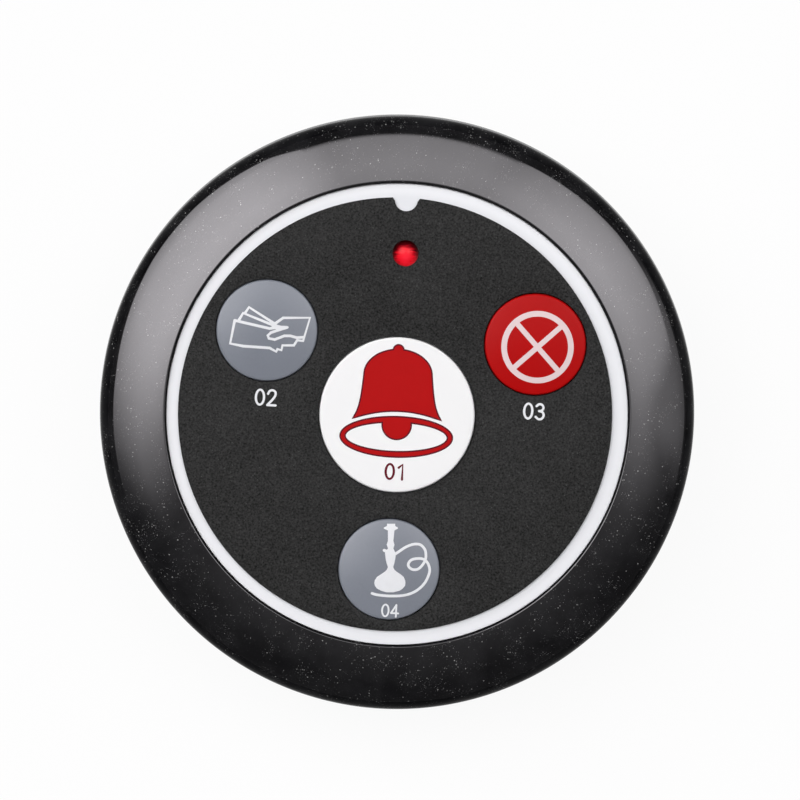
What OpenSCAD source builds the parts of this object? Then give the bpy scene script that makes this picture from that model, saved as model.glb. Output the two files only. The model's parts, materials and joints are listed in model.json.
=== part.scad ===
// Round table-top waiter call button with four keys and an indicator lamp.
// Millimetres. The origin is the middle of the foot pad's underside, +Z is up,
// and the lamp lies towards +Y. Heights are stacked upwards from the table.

/* [Case] */
// Widest diameter of the case
case_d = 60; // [59:0.5:66]
// Thickness of the side wall at its widest
wall_t = 1.8; // [1.6:0.1:2.2]
// Height of the widest point above the cover's underside
belly_h = 8.5; // [7:0.5:10]
// Radius of the side wall's bulge, seen in section
bulge_r = 45; // [35:5:80]
// Radius of the rounded top edge
edge_round_r = 2.6; // [2.2:0.1:3]
// Radius of the bezel's gentle crown, seen in section
crown_r = 22; // [18:1:28]
// Slope of the bezel at its inner lip, in degrees
lip_slope = 7; // [4:1:9]
// Radius of the bezel's inner lip
lip_round_r = 0.25; // [0.15:0.05:0.35]
// Width of the bezel, from the widest edge of the case to the opening
bezel_w = 6.65; // [6.4:0.05:6.9]
// Thickness of the bezel at its opening
bezel_t = 1.9; // [1.7:0.1:2.2]
// Chamfer between the bezel's underside and the side wall
inner_chamfer = 1.8; // [1.2:0.1:2.2]
// Chamfer on both edges of the parting line
seam_chamfer = 0.2; // [0.1:0.05:0.3]

/* [Bottom cover] */
// Thickness of the cover's floor
floor_t = 1.8; // [1.6:0.1:2.4]
// Height of the parting line above the cover's underside
parting_h = 2.5; // [2.3:0.1:3.2]
// Radius of the cover's lower edge
cover_round_r = 1.6; // [1:0.1:1.8]
// Thickness of the locating lip inside the wall
cover_lip_t = 1; // [0.8:0.1:1.4]
// Height of the locating lip above the parting line
cover_lip_h = 1.4; // [1:0.1:2]
// Diameter of the posts that back the board under the outer keys
backing_post_d = 3; // [2.4:0.1:3.6]
// Distance from the foot pad's edge to the cover screws' heads
pad_margin = 2.8; // [2.4:0.1:5]
// Thickness of the foot pad
pad_t = 1; // [0.8:0.1:1.4]
// How far the foot pad is sunk into the cover
pad_recess = 0.5; // [0.3:0.1:0.7]

/* [Face] */
// How far the face lies below the bezel's lip
face_drop = 0.5; // [0.3:0.1:0.8]
// Width of the dark joint between the bezel and the face plate
face_joint = 0.35; // [0.25:0.05:0.5]
// Visible width of the white ring round the film
ring_w = 1.3; // [1:0.1:1.6]
// Thickness of the face plate's deck
deck_t = 1.6; // [1.4:0.1:2]
// Thickness of the rim wall under the deck
rim_t = 1.1; // [0.9:0.05:1.15]
// Thickness of the clamped flange
flange_t = 1.4; // [1:0.1:1.6]
// Thickness of the face film with its adhesive
film_t = 0.25; // [0.15:0.05:0.4]
// Width of the film's notch at the edge
notch_w = 2.7; // [2.2:0.1:3.2]
// Depth of the film's notch
notch_depth = 1.35; // [1.1:0.05:1.8]
// Radius of the notch's round end
notch_end_r = 1; // [0.8:0.05:1.1]

/* [Keys] */
// Diameter of the three outer caps
outer_cap_d = 10.1; // [8.5:0.1:10.4]
// Width of film between an outer cap and the film's edge
key_edge = 1.15; // [1:0.05:1.4]
// Width of film between the call key's cap and an outer cap
key_spacing = 2.7; // [2.3:0.1:4]
// How far the caps stand above the film
cap_proud = 0.6; // [0.4:0.1:1]
// Radius of the caps' top edge
cap_round_r = 0.25; // [0.1:0.05:0.4]
// Thickness of a cap's top
cap_top_t = 1.2; // [0.9:0.1:1.5]
// Thickness of a cap's skirt
cap_skirt_t = 1.1; // [0.8:0.1:1.4]
// How far the stop flange stands out from the skirt
stop_w = 0.9; // [0.7:0.05:1]
// Thickness of the stop flange
stop_t = 0.8; // [0.6:0.1:1.1]
// Diameter of the stem under a cap
cap_stem_d = 3.2; // [2.6:0.1:3.4]
// How far the stem reaches below the stop flange
cap_stem_drop = 0.55; // [0.45:0.05:0.8]
// Diameter of the pegs that keep the caps from turning
peg_d = 1; // [0.8:0.1:1.2]
// How far the pegs still reach past the stop flange of a pressed key
peg_overlap = 0.25; // [0.1:0.05:0.4]
// Travel of a key
key_travel = 0.3; // [0.2:0.02:0.34]

/* [Switches] */
// Width of a switch body
switch_w = 6; // [5.6:0.1:6.2]
// Height of the moulded switch body
switch_base_h = 3.1; // [2.9:0.1:3.3]
// Wall of the moulded switch body round its chamber
switch_wall_t = 0.8; // [0.7:0.05:0.9]
// Height of the chamber's floor above the board
chamber_floor_h = 1.5; // [1.2:0.1:1.6]
// Thickness of the pressed steel switch cover
switch_cover_t = 0.3; // [0.2:0.05:0.35]
// Length of the cover's folded side tabs
switch_tab_l = 1.8; // [1.2:0.1:2.2]
// Diameter of the switch stem
plunger_d = 3.5; // [3.1:0.1:3.7]
// How far the switch stem stands above the switch cover
plunger_proud = 0.9; // [0.8:0.05:1.2]
// Thickness of the snap dome
dome_t = 0.1; // [0.08:0.01:0.12]
// Diameter of the nub that presses the snap dome
nub_d = 2; // [1.4:0.1:2.4]
// Height of that nub
nub_h = 0.25; // [0.2:0.05:0.3]
// Width of a switch leg
leg_w = 0.7; // [0.5:0.05:0.9]
// Thickness of a switch leg
leg_t = 0.25; // [0.2:0.05:0.3]
// Foot length of a switch leg
leg_foot = 1.1; // [0.8:0.1:1.4]
// Height of a switch leg
leg_h = 1.1; // [0.8:0.1:1.4]
// Distance between the two legs on one side
leg_pitch = 4.5; // [3.8:0.1:4.8]

/* [Lamp] */
// Diameter of the indicator lamp
led_d = 3; // [2.8:0.1:3.2]
// How far the lamp's collar stands out from it
led_collar_w = 0.4; // [0.3:0.05:0.5]
// Thickness of the lamp's collar
led_collar_t = 1; // [0.8:0.1:1.2]
// Height of the lamp
led_h = 5.3; // [4.8:0.1:5.6]
// Distance of the lamp's middle from the film's edge
led_inset = 5.55; // [5.1:0.05:5.8]
// Diameter of the window in the film
window_d = 2.6; // [2.2:0.1:2.7]
// How far the lamp's tip stands above the deck
led_peek = 0.05; // [0:0.05:0.15]
// Diameter of a lamp lead
lead_d = 0.5; // [0.4:0.05:0.6]
// Distance between the lamp leads
lead_pitch = 2.54; // [2.2:0.02:2.6]
// How far the lamp leads stand below the board
lead_tail = 0.8; // [0.5:0.1:1.2]

/* [Board] */
// Gap between the board's edge and the cover bosses
board_edge_gap = 1.3; // [1:0.1:2]
// Thickness of the circuit board
board_t = 1.6; // [1.2:0.1:2]
// Diameter of the posts that carry the board
board_post_d = 3.6; // [3.2:0.1:3.8]
// Distance of the posts' middle from the board's edge
board_post_inset = 2.1; // [2:0.05:2.4]
// How far the encoder chip and the resonator lie inside the outer keys' circle
chip_inset = 2.45; // [2:0.05:2.8]
// Gap between neighbouring parts on the board
part_gap = 0.95; // [0.6:0.05:1.2]
// Length of the encoder chip
chip_l = 5; // [4.4:0.1:5.4]
// Width of the encoder chip
chip_w = 3.9; // [3:0.1:4.2]
// Height of the encoder chip
chip_h = 1.5; // [1:0.1:1.8]
// Gap under the encoder chip
chip_gap = 0.2; // [0.1:0.05:0.3]
// Distance between the chip's legs
chip_leg_pitch = 1.27; // [1.1:0.01:1.3]
// Width of a chip leg
chip_leg_w = 0.42; // [0.3:0.02:0.5]
// Foot length of a chip leg
chip_leg_foot = 1.05; // [0.8:0.05:1.2]
// Thickness of a chip leg
chip_leg_t = 0.2; // [0.15:0.05:0.25]
// Diameter of the resonator can
can_d = 8.4; // [7.6:0.1:8.6]
// How far the can's flange stands out from it
can_rim_w = 0.45; // [0.3:0.05:0.5]
// Height of the resonator can
can_h = 3.4; // [2.6:0.1:3.8]
// Thickness of the can's flange
can_flange_t = 0.6; // [0.4:0.1:0.8]
// Diameter of the filter capacitor
capacitor_d = 4; // [3:0.1:4]
// Height of the filter capacitor
capacitor_h = 4.4; // [3.6:0.1:4.4]
// Length of the wire-wound inductor
inductor_l = 2.5; // [2:0.1:3]
// Width of the wire-wound inductor
inductor_w = 2; // [1.6:0.1:2.2]
// Height of the wire-wound inductor
inductor_h = 1.8; // [1.2:0.1:2.2]
// Length of a chip resistor or capacitor
resistor_l = 2; // [1.6:0.1:2.2]
// Width of a chip resistor or capacitor
resistor_w = 1.25; // [0.8:0.05:1.3]
// Height of a chip resistor
resistor_h = 0.5; // [0.4:0.05:0.7]
// Height of a chip capacitor
ceramic_h = 0.8; // [0.6:0.05:1.2]
// Length of the transistor
transistor_l = 2.9; // [2.4:0.1:3.1]
// Width of the transistor
transistor_w = 1.3; // [1.1:0.1:1.5]
// Height of the transistor
transistor_h = 1; // [0.8:0.1:1.2]
// Diameter of the antenna wire
antenna_wire_d = 0.8; // [0.6:0.1:1]
// Height of the antenna wire's middle above the board
antenna_h = 1.4; // [1:0.1:1.6]
// Distance of the antenna wire from the board's edge
antenna_inset = 1.4; // [1:0.1:1.6]
// Angle over which the antenna wire runs, in degrees
antenna_span = 80; // [60:2:88]
// Width of the lugs at the antenna's ends
antenna_lug_w = 1.2; // [1.1:0.1:1.4]

/* [Cell] */
// Diameter of the coin cell
cell_d = 20; // [16:0.1:20.2]
// Thickness of the coin cell
cell_t = 3.2; // [2:0.1:3.6]
// Width of the step round the cell's raised negative face
cell_rim_w = 1.2; // [0.8:0.1:2.5]
// Height of the cell's raised negative face
cell_face_h = 0.35; // [0.2:0.05:0.5]
// Diameter of the negative contact
contact_d = 11; // [8:0.5:13]
// Thickness of the negative contact
contact_t = 0.4; // [0.3:0.05:0.6]
// Width of the cell strap
strap_w = 6; // [4:0.1:7]
// Thickness of the cell strap
strap_t = 0.3; // [0.2:0.05:0.4]
// Free height between the cell strap and the cover's floor
strap_clear = 0.6; // [0.4:0.1:1.2]

/* [Screws] */
// Diameter of the cover screws
cover_screw_d = 2; // [1.8:0.1:2.2]
// Length of the cover screws
cover_screw_l = 8; // [7:0.5:9]
// Head diameter of the cover screws
cover_head_d = 3.8; // [3.4:0.1:4]
// Height of the cover screws' conical head
cover_head_h = 1; // [0.8:0.05:1.1]
// How far the cover screws' heads lie below the cover's underside
cover_head_sink = 0.1; // [0.05:0.05:0.3]
// Diameter of the bosses for the cover screws
cover_boss_d = 4.6; // [4.2:0.1:4.8]
// How far those bosses run into the side wall
cover_boss_merge = 0.3; // [0.2:0.05:0.5]
// Diameter of the small screws for the face plate and the board
small_screw_d = 1.8; // [1.6:0.1:2]
// Length of the small screws
small_screw_l = 3.8; // [3.6:0.1:4]
// Head diameter of the small screws
small_head_d = 3.4; // [3:0.1:3.6]
// Head height of the small screws
small_head_h = 0.8; // [0.6:0.1:0.9]
// Diameter of the bezel's bosses for the face plate's screws
ear_boss_d = 3.8; // [3.6:0.1:4]
// Length of those bosses
ear_boss_h = 2.1; // [1.8:0.1:2.3]
// Thickness of the face plate's ears
ear_t = 1.2; // [1:0.1:1.4]
// Diameter of the face plate's ears
ear_d = 5.2; // [4.8:0.1:5.2]
// Distance of the ears' middle outside the bezel's opening
ear_offset = 1.35; // [1.3:0.05:1.5]
// Length of the cross in a screw's head
cross_l = 2; // [1.6:0.1:2.2]
// Width of the cross in a screw's head
cross_w = 0.45; // [0.3:0.05:0.5]
// Depth of the cross in a screw's head
cross_depth = 0.5; // [0.3:0.05:0.55]

/* [Clearances] */
// Running gap round a cap in the deck, and round a peg
guide_gap = 0.12; // [0.08:0.01:0.15]
// Gap between a cap and the film
film_gap = 0.2; // [0.16:0.01:0.25]
// Gap between the stop flange and the deck at rest
stop_gap = 0.05; // [0.02:0.01:0.08]
// Gap round fixed parts that locate each other
seat_gap = 0.15; // [0.1:0.01:0.2]
// Gap round the moving parts of a switch
switch_gap = 0.1; // [0.06:0.01:0.12]
// Gap round a screw's thread in its pilot hole
thread_gap = 0.02; // [0.01:0.01:0.04]
// Gap round the lamp and its leads
led_gap = 0.08; // [0.05:0.01:0.12]
// Gap between the cell's edge and its strap
cell_gap = 0.3; // [0.2:0.05:0.5]
// Gap between the board and the posts that back it
backing_gap = 0.1; // [0.05:0.05:0.2]

/* [Hidden] */
$fn = 96;
// Steps along each arc of a turned outline
arc_steps = 10;
// Depth by which fused features run into each other, and cuts overshoot
bite = 0.3;

// Directions of the keys, the lamp, and the three sets of screws
bill_angle = 150;
cancel_angle = 30;
pipe_angle = 270;
led_angle = 90;
cover_screw_angles = [90, 210, 330];
ear_angles = [30, 150, 270];
board_post_angles = [60, 180, 300];
call_peg_angle = 210;
antenna_start = 196;

// A pressed key flattens its snap dome to half its height
dome_h = 2 * key_travel;
peg_l = stop_gap + stop_t + key_travel + peg_overlap;

// Heights, from the table upwards
z_cover = pad_t - pad_recess;
z_floor = z_cover + floor_t;
z_parting = z_cover + parting_h;
z_strap = z_floor + strap_clear;
z_cell = z_strap + strap_t;
z_contact = z_cell + cell_t;
z_board = z_contact + contact_t;
z_board_top = z_board + board_t;
z_switch_cover = z_board_top + switch_base_h;
z_plunger_top = z_switch_cover + switch_cover_t + plunger_proud;
z_stop = z_plunger_top + cap_stem_drop;
z_deck = z_stop + stop_t + stop_gap;
z_face = z_deck + deck_t;
z_film_top = z_face + film_t;
z_cap_top = z_film_top + cap_proud;
z_crown = z_face + face_drop;
z_bezel_under = z_crown - bezel_t;
z_flange = z_bezel_under - flange_t;
z_ear_top = z_bezel_under - ear_boss_h;
z_ear = z_ear_top - ear_t;
z_chamber = z_board_top + chamber_floor_h;
z_dome_top = z_chamber + dome_h;
z_led = z_face + led_peek - led_h;

// Radii from the middle
case_r = case_d / 2;
shell_r = case_r - wall_t;
opening_r = case_r - bezel_w;
deck_r = opening_r - face_joint;
film_r = deck_r - ring_w;
flange_r = shell_r - inner_chamfer - seat_gap;
rim_r = deck_r - rim_t;
ear_circle_r = opening_r + ear_offset;
cover_boss_r = cover_boss_d / 2;
cover_boss_circle_r = shell_r + cover_boss_merge - cover_boss_r;
pad_r = cover_boss_circle_r - cover_head_d / 2 - pad_margin;
board_r = cover_boss_circle_r - cover_boss_r - board_edge_gap;
board_post_circle_r = board_r - board_post_inset;
cover_lip_r = shell_r - seat_gap;
antenna_r = board_r - antenna_inset;
chamber_r = switch_w / 2 - switch_wall_t;
outer_cap_r = outer_cap_d / 2;
key_circle_r = film_r - key_edge - outer_cap_r;
call_cap_r = key_circle_r - outer_cap_r - key_spacing;
led_circle_r = film_r - led_inset;
led_collar_r = led_d / 2 + led_collar_w;
can_flange_r = can_d / 2 + can_rim_w;

// Centres of the arcs in the case's section
lip_c = [opening_r + lip_round_r, z_crown - lip_round_r];
crown_c = lip_c - (crown_r - lip_round_r) * [sin(lip_slope), cos(lip_slope)];
bulge_c = [case_r - bulge_r, z_cover + belly_h];
edge_c = circles_meet(crown_c, crown_r - edge_round_r, bulge_c, bulge_r - edge_round_r);
crown_end = angle_to(crown_c, edge_c);
bulge_top = angle_to(bulge_c, edge_c);
bulge_parting = asin((z_parting - bulge_c.y) / bulge_r);
cover_round_z = z_cover + cover_round_r;
cover_round_c = [
    bulge_c.x + sqrt(pow(bulge_r - cover_round_r, 2) - pow(cover_round_z - bulge_c.y, 2)),
    cover_round_z
];
parting_r = bulge_c.x + bulge_r * cos(bulge_parting);

// Points along an arc round c, from angle a0 to angle a1
function arc(c, r, a0, a1) =
    [for (i = [0 : arc_steps]) let (a = a0 + (a1 - a0) * i / arc_steps) c + r * [cos(a), sin(a)]];

// Direction from one point to another, in degrees
function angle_to(from, to) = atan2(to.y - from.y, to.x - from.x);

// The outer of the two points where two circles meet
function circles_meet(c0, r0, c1, r1) =
    let (
        d = norm(c1 - c0),
        u = (c1 - c0) / d,
        along = (r0 * r0 - r1 * r1 + d * d) / (2 * d),
        across = sqrt(r0 * r0 - along * along)
    )
    c0 + along * u + across * [u.y, -u.x];

// A place at radius r in direction a
function polar(r, a) = [r * cos(a), r * sin(a)];

// Where each key stands
function key_at(angle) = polar(key_circle_r, angle);
KEY_PLACES = [[0, 0], key_at(bill_angle), key_at(cancel_angle), key_at(pipe_angle)];
CAP_RADII = [call_cap_r, outer_cap_r, outer_cap_r, outer_cap_r];
PEG_ANGLES = [call_peg_angle, bill_angle + 90, cancel_angle + 90, pipe_angle + 90];
led_at = polar(led_circle_r, led_angle);

// The chip and the resonator lie between two outer keys, the rest in rows beside
// the chip and beside the capacitor, which stands in front of the lamp
chip_at = polar(key_circle_r - chip_inset, cancel_angle - 60);
can_at = polar(key_circle_r - chip_inset, bill_angle + 60);
capacitor_at = led_at - [0, led_collar_r + part_gap + capacitor_d / 2];
inductor_at = capacitor_at + [(capacitor_d + inductor_l) / 2 + part_gap, 0];
transistor_at = capacitor_at - [(capacitor_d + transistor_l) / 2 + part_gap, 0];
row_step = [0, resistor_w + part_gap];
beside_chip = chip_at + [(chip_l + resistor_l) / 2 + part_gap, 0];
behind_inductor = inductor_at + [0, (inductor_w + resistor_w) / 2 + part_gap];
behind_transistor = transistor_at + [0, (transistor_w + resistor_w) / 2 + part_gap];
resistor_places = [beside_chip, beside_chip + row_step, behind_inductor];
ceramic_places = [beside_chip - row_step, behind_transistor];

module at(place, z) {
    translate([place.x, place.y, z]) children();
}

module ring_of(angles, r, z) {
    for (a = angles) at(polar(r, a), z) children();
}

// A cylinder that overshoots by the bite at both ends, for cutting
module drill(r, h) {
    translate([0, 0, -bite]) cylinder(r = r, h = h + 2 * bite);
}

// A block centred on x and y that stands on z = 0
module block(l, w, h) {
    translate([-l / 2, -w / 2, 0]) cube([l, w, h]);
}

// ---------------------------------------------------------------- case

module case_top_outline() {
    polygon(concat(
        arc(lip_c, lip_round_r, 180, 90 - lip_slope),
        arc(crown_c, crown_r, 90 - lip_slope, crown_end),
        arc(edge_c, edge_round_r, crown_end, bulge_top),
        arc(bulge_c, bulge_r, bulge_top, bulge_parting + seam_chamfer / bulge_r * 180 / PI),
        [[parting_r - seam_chamfer, z_parting],
         [shell_r, z_parting],
         [shell_r, z_bezel_under - inner_chamfer],
         [shell_r - inner_chamfer, z_bezel_under],
         [opening_r, z_bezel_under]]
    ));
}

module cover_bosses(extra) {
    ring_of(cover_screw_angles, cover_boss_circle_r, z_floor)
        cylinder(r = cover_boss_r + extra, h = z_bezel_under - z_floor);
}

module ear_bosses(extra) {
    ring_of(ear_angles, ear_circle_r, z_ear_top)
        cylinder(d = ear_boss_d + 2 * extra, h = ear_boss_h);
}

module top_shell() {
    color([0.06, 0.06, 0.065]) difference() {
        union() {
            rotate_extrude() case_top_outline();
            cover_bosses(0);
            ear_bosses(0);
        }
        ring_of(cover_screw_angles, cover_boss_circle_r, z_floor)
            drill(cover_screw_d / 2 + thread_gap, cover_screw_l - floor_t + bite);
        ring_of(ear_angles, ear_circle_r, z_ear_top)
            drill(small_screw_d / 2 + thread_gap, small_screw_l - ear_t);
    }
}

module cover_outline() {
    polygon(concat(
        [[0, pad_t],
         [pad_r + seat_gap, pad_t],
         [pad_r + seat_gap, z_cover]],
        arc(cover_round_c, cover_round_r, -90, angle_to(bulge_c, cover_round_c)),
        arc(bulge_c, bulge_r, angle_to(bulge_c, cover_round_c),
            bulge_parting - seam_chamfer / bulge_r * 180 / PI),
        [[parting_r - seam_chamfer, z_parting],
         [cover_lip_r, z_parting],
         [cover_lip_r, z_parting + cover_lip_h],
         [cover_lip_r - cover_lip_t, z_parting + cover_lip_h],
         [cover_lip_r - cover_lip_t, z_floor],
         [0, z_floor]]
    ));
}

module countersink() {
    head_r = cover_head_d / 2 + seat_gap;
    hole_r = cover_screw_d / 2 + seat_gap;
    translate([0, 0, cover_head_sink]) cylinder(r1 = head_r, r2 = hole_r, h = cover_head_h);
    translate([0, 0, -bite]) cylinder(r = head_r, h = bite + cover_head_sink);
    drill(hole_r, floor_t);
}

module bottom_cover() {
    color([0.07, 0.07, 0.075]) {
        difference() {
            rotate_extrude() cover_outline();
            cover_bosses(seat_gap);
            ring_of(cover_screw_angles, cover_boss_circle_r, z_cover) countersink();
        }
        ring_of([bill_angle, cancel_angle, pipe_angle], key_circle_r, z_floor - bite)
            cylinder(d = backing_post_d, h = z_board - backing_gap - z_floor + bite);
    }
}

module foot_pad() {
    color([0.2, 0.2, 0.21]) cylinder(r = pad_r, h = pad_t);
}

// ---------------------------------------------------------------- face

module caps_2d(extra) {
    for (k = [0 : len(KEY_PLACES) - 1])
        translate(KEY_PLACES[k]) circle(r = CAP_RADII[k] + extra);
}

module carrier_plate() {
    color([0.95, 0.95, 0.96]) difference() {
        union() {
            translate([0, 0, z_deck]) linear_extrude(height = deck_t) difference() {
                circle(r = deck_r);
                caps_2d(guide_gap);
                translate(led_at) circle(r = led_d / 2 + led_gap);
            }
            translate([0, 0, z_ear]) linear_extrude(height = z_deck - z_ear + bite) difference() {
                circle(r = deck_r);
                circle(r = rim_r);
            }
            translate([0, 0, z_flange]) linear_extrude(height = flange_t) difference() {
                circle(r = flange_r);
                circle(r = rim_r);
            }
            ring_of(ear_angles, ear_circle_r, z_ear) cylinder(d = ear_d, h = ear_t);
            ring_of(board_post_angles, board_post_circle_r, z_board_top)
                cylinder(d = board_post_d, h = z_deck - z_board_top + bite);
            for (k = [0 : len(KEY_PLACES) - 1])
                at(KEY_PLACES[k] + polar(CAP_RADII[k] + stop_w, PEG_ANGLES[k]), z_deck - peg_l)
                    cylinder(d = peg_d, h = peg_l + bite);
        }
        cover_bosses(seat_gap);
        ear_bosses(seat_gap);
        ring_of(ear_angles, ear_circle_r, z_ear) drill(small_screw_d / 2 + seat_gap, ear_t);
        ring_of(board_post_angles, board_post_circle_r, z_board_top)
            drill(small_screw_d / 2 + thread_gap, small_screw_l - board_t + bite);
    }
}

module notch_2d() {
    end_y = film_r - notch_depth + notch_end_r;
    translate([0, end_y]) circle(r = notch_end_r);
    polygon([
        [-notch_w / 2, film_r + bite], [notch_w / 2, film_r + bite],
        [notch_end_r, end_y], [-notch_end_r, end_y]
    ]);
}

module face_film() {
    color([0.2, 0.2, 0.2]) translate([0, 0, z_face]) linear_extrude(height = film_t) difference() {
        circle(r = film_r);
        caps_2d(film_gap);
        translate(led_at) circle(d = window_d);
        rotate(led_angle - 90) notch_2d();
    }
}

// ---------------------------------------------------------------- keys

module cap_outline(r) {
    stem_r = cap_stem_d / 2;
    inner_r = r - cap_skirt_t;
    polygon(concat(
        [[0, z_cap_top]],
        arc([r - cap_round_r, z_cap_top - cap_round_r], cap_round_r, 90, 0),
        [[r, z_stop + stop_t],
         [r + stop_w, z_stop + stop_t],
         [r + stop_w, z_stop],
         [inner_r, z_stop],
         [inner_r, z_cap_top - cap_top_t],
         [stem_r, z_cap_top - cap_top_t],
         [stem_r, z_plunger_top],
         [0, z_plunger_top]]
    ));
}

module cap(k) {
    r = CAP_RADII[k];
    at(KEY_PLACES[k], 0) difference() {
        rotate_extrude() cap_outline(r);
        at(polar(r + stop_w, PEG_ANGLES[k]), z_stop) drill(peg_d / 2 + guide_gap, stop_t);
    }
}

module call_button() {
    color([0.94, 0.94, 0.95]) cap(0);
}

module bill_button() {
    color([0.56, 0.58, 0.62]) cap(1);
}

module cancel_button() {
    color([0.72, 0.08, 0.08]) cap(2);
}

module pipe_button() {
    color([0.56, 0.58, 0.62]) cap(3);
}

// ---------------------------------------------------------------- switches

module switch_base(k) {
    color([0.1, 0.1, 0.1]) at(KEY_PLACES[k], z_board_top) difference() {
        block(switch_w, switch_w, switch_base_h);
        translate([0, 0, chamber_floor_h]) cylinder(r = chamber_r, h = switch_base_h);
    }
}

module switch_cover(k) {
    tab_w = switch_w - 2 * switch_wall_t;
    color([0.75, 0.76, 0.78]) at(KEY_PLACES[k], z_switch_cover) {
        difference() {
            block(switch_w, switch_w + 2 * switch_cover_t, switch_cover_t);
            drill(plunger_d / 2 + switch_gap, switch_cover_t);
        }
        for (side = [-1, 1])
            translate([0, side * (switch_w + switch_cover_t) / 2, -switch_tab_l])
                block(tab_w, switch_cover_t, switch_tab_l);
    }
}

// A shallow spherical shell that stands on its rim
module switch_dome(k) {
    rim_radius = chamber_r - switch_gap;
    outer_r = (rim_radius * rim_radius + dome_h * dome_h) / (2 * dome_h);
    color([0.8, 0.8, 0.82]) at(KEY_PLACES[k], z_chamber) rotate_extrude() intersection() {
        difference() {
            translate([0, dome_h - outer_r]) circle(r = outer_r);
            translate([0, dome_h - outer_r]) circle(r = outer_r - dome_t);
        }
        square([rim_radius, dome_h]);
    }
}

module switch_plunger(k) {
    collar_z = z_dome_top + nub_h;
    collar_t = z_switch_cover - switch_gap / 2 - collar_z;
    color([0.12, 0.12, 0.12]) at(KEY_PLACES[k], 0) {
        translate([0, 0, z_dome_top]) cylinder(d = nub_d, h = nub_h);
        translate([0, 0, collar_z]) cylinder(r = chamber_r - switch_gap, h = collar_t);
        translate([0, 0, collar_z]) cylinder(d = plunger_d, h = z_plunger_top - collar_z);
    }
}

module switch_leg() {
    cube([leg_t, leg_w, leg_h]);
    cube([leg_foot, leg_w, leg_t]);
}

module switch_terminals() {
    color([0.8, 0.8, 0.78])
    for (place = KEY_PLACES, side = [0, 1], row = [-1, 1])
        at(place, z_board_top) mirror([side, 0, 0])
            translate([switch_w / 2, row * leg_pitch / 2 - leg_w / 2, 0]) switch_leg();
}

// ---------------------------------------------------------------- lamp

module indicator_led() {
    tip_r = led_d / 2;
    color([0.85, 0.06, 0.08]) at(led_at, z_led) rotate_extrude() polygon(concat(
        [[0, 0], [led_collar_r, 0], [led_collar_r, led_collar_t], [tip_r, led_collar_t]],
        arc([0, led_h - tip_r], tip_r, 0, 90)
    ));
}

module at_leads(z) {
    for (side = [-1, 1]) at(led_at + [side * lead_pitch / 2, 0], z) children();
}

module led_leads() {
    color([0.8, 0.8, 0.78]) at_leads(z_board - lead_tail)
        cylinder(d = lead_d, h = z_led - z_board + lead_tail);
}

module led_spacer() {
    color([0.93, 0.93, 0.9]) difference() {
        at(led_at, z_board_top) cylinder(r = led_collar_r, h = z_led - z_board_top);
        at_leads(z_board_top) drill(lead_d / 2 + led_gap, z_led - z_board_top);
    }
}

// ---------------------------------------------------------------- board

module circuit_board() {
    color([0.05, 0.3, 0.16]) difference() {
        translate([0, 0, z_board]) cylinder(r = board_r, h = board_t);
        at_leads(z_board) drill(lead_d / 2 + led_gap, board_t);
        ring_of(board_post_angles, board_post_circle_r, z_board)
            drill(small_screw_d / 2 + seat_gap, board_t);
    }
}

module encoder_chip() {
    color([0.08, 0.08, 0.08]) at(chip_at, z_board_top + chip_gap) block(chip_l, chip_w, chip_h);
}

module chip_leg() {
    cube([chip_leg_w, chip_leg_foot, chip_leg_t]);
    cube([chip_leg_w, chip_leg_t, chip_gap + chip_h / 2]);
}

module chip_leads() {
    color([0.8, 0.8, 0.78])
    for (side = [0, 1], i = [-1.5 : 1 : 1.5])
        at(chip_at, z_board_top) mirror([0, side, 0])
            translate([i * chip_leg_pitch - chip_leg_w / 2, chip_w / 2, 0]) chip_leg();
}

module resonator_can() {
    color([0.78, 0.79, 0.8]) at(can_at, z_board_top) {
        cylinder(r = can_flange_r, h = can_flange_t);
        cylinder(d = can_d, h = can_h);
    }
}

module transistor() {
    color([0.09, 0.09, 0.09]) at(transistor_at, z_board_top)
        block(transistor_l, transistor_w, transistor_h);
}

module filter_capacitor() {
    color([0.1, 0.12, 0.25]) at(capacitor_at, z_board_top)
        cylinder(d = capacitor_d, h = capacitor_h);
}

module inductor() {
    color([0.35, 0.33, 0.3]) at(inductor_at, z_board_top) block(inductor_l, inductor_w, inductor_h);
}

module chip_resistors() {
    color([0.12, 0.12, 0.12])
    for (place = resistor_places)
        at(place, z_board_top) block(resistor_l, resistor_w, resistor_h);
}

module chip_capacitors() {
    color([0.62, 0.5, 0.36])
    for (place = ceramic_places)
        at(place, z_board_top) block(resistor_l, resistor_w, ceramic_h);
}

module antenna_wire() {
    color([0.72, 0.42, 0.2]) {
        translate([0, 0, z_board_top + antenna_h]) rotate(antenna_start)
            rotate_extrude(angle = antenna_span)
                translate([antenna_r, 0]) circle(d = antenna_wire_d);
        for (a = [antenna_start, antenna_start + antenna_span])
            rotate(a) translate([antenna_r, 0, z_board_top])
                block(antenna_lug_w, antenna_lug_w, antenna_h + antenna_lug_w / 2);
    }
}

// ---------------------------------------------------------------- cell

module coin_cell() {
    color([0.8, 0.81, 0.82]) {
        translate([0, 0, z_cell]) cylinder(d = cell_d, h = cell_t - cell_face_h);
        translate([0, 0, z_cell]) cylinder(d = cell_d - 2 * cell_rim_w, h = cell_t);
    }
}

module cell_strap() {
    half = cell_d / 2 + cell_gap;
    color([0.75, 0.76, 0.78]) {
        translate([0, 0, z_strap]) block(2 * (half + strap_t), strap_w, strap_t);
        for (side = [-1, 1])
            translate([side * (half + strap_t / 2), 0, z_strap])
                block(strap_t, strap_w, z_board - z_strap);
    }
}

module cell_contact() {
    color([0.85, 0.78, 0.5]) translate([0, 0, z_contact]) cylinder(d = contact_d, h = contact_t);
}

// ---------------------------------------------------------------- screws

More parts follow.
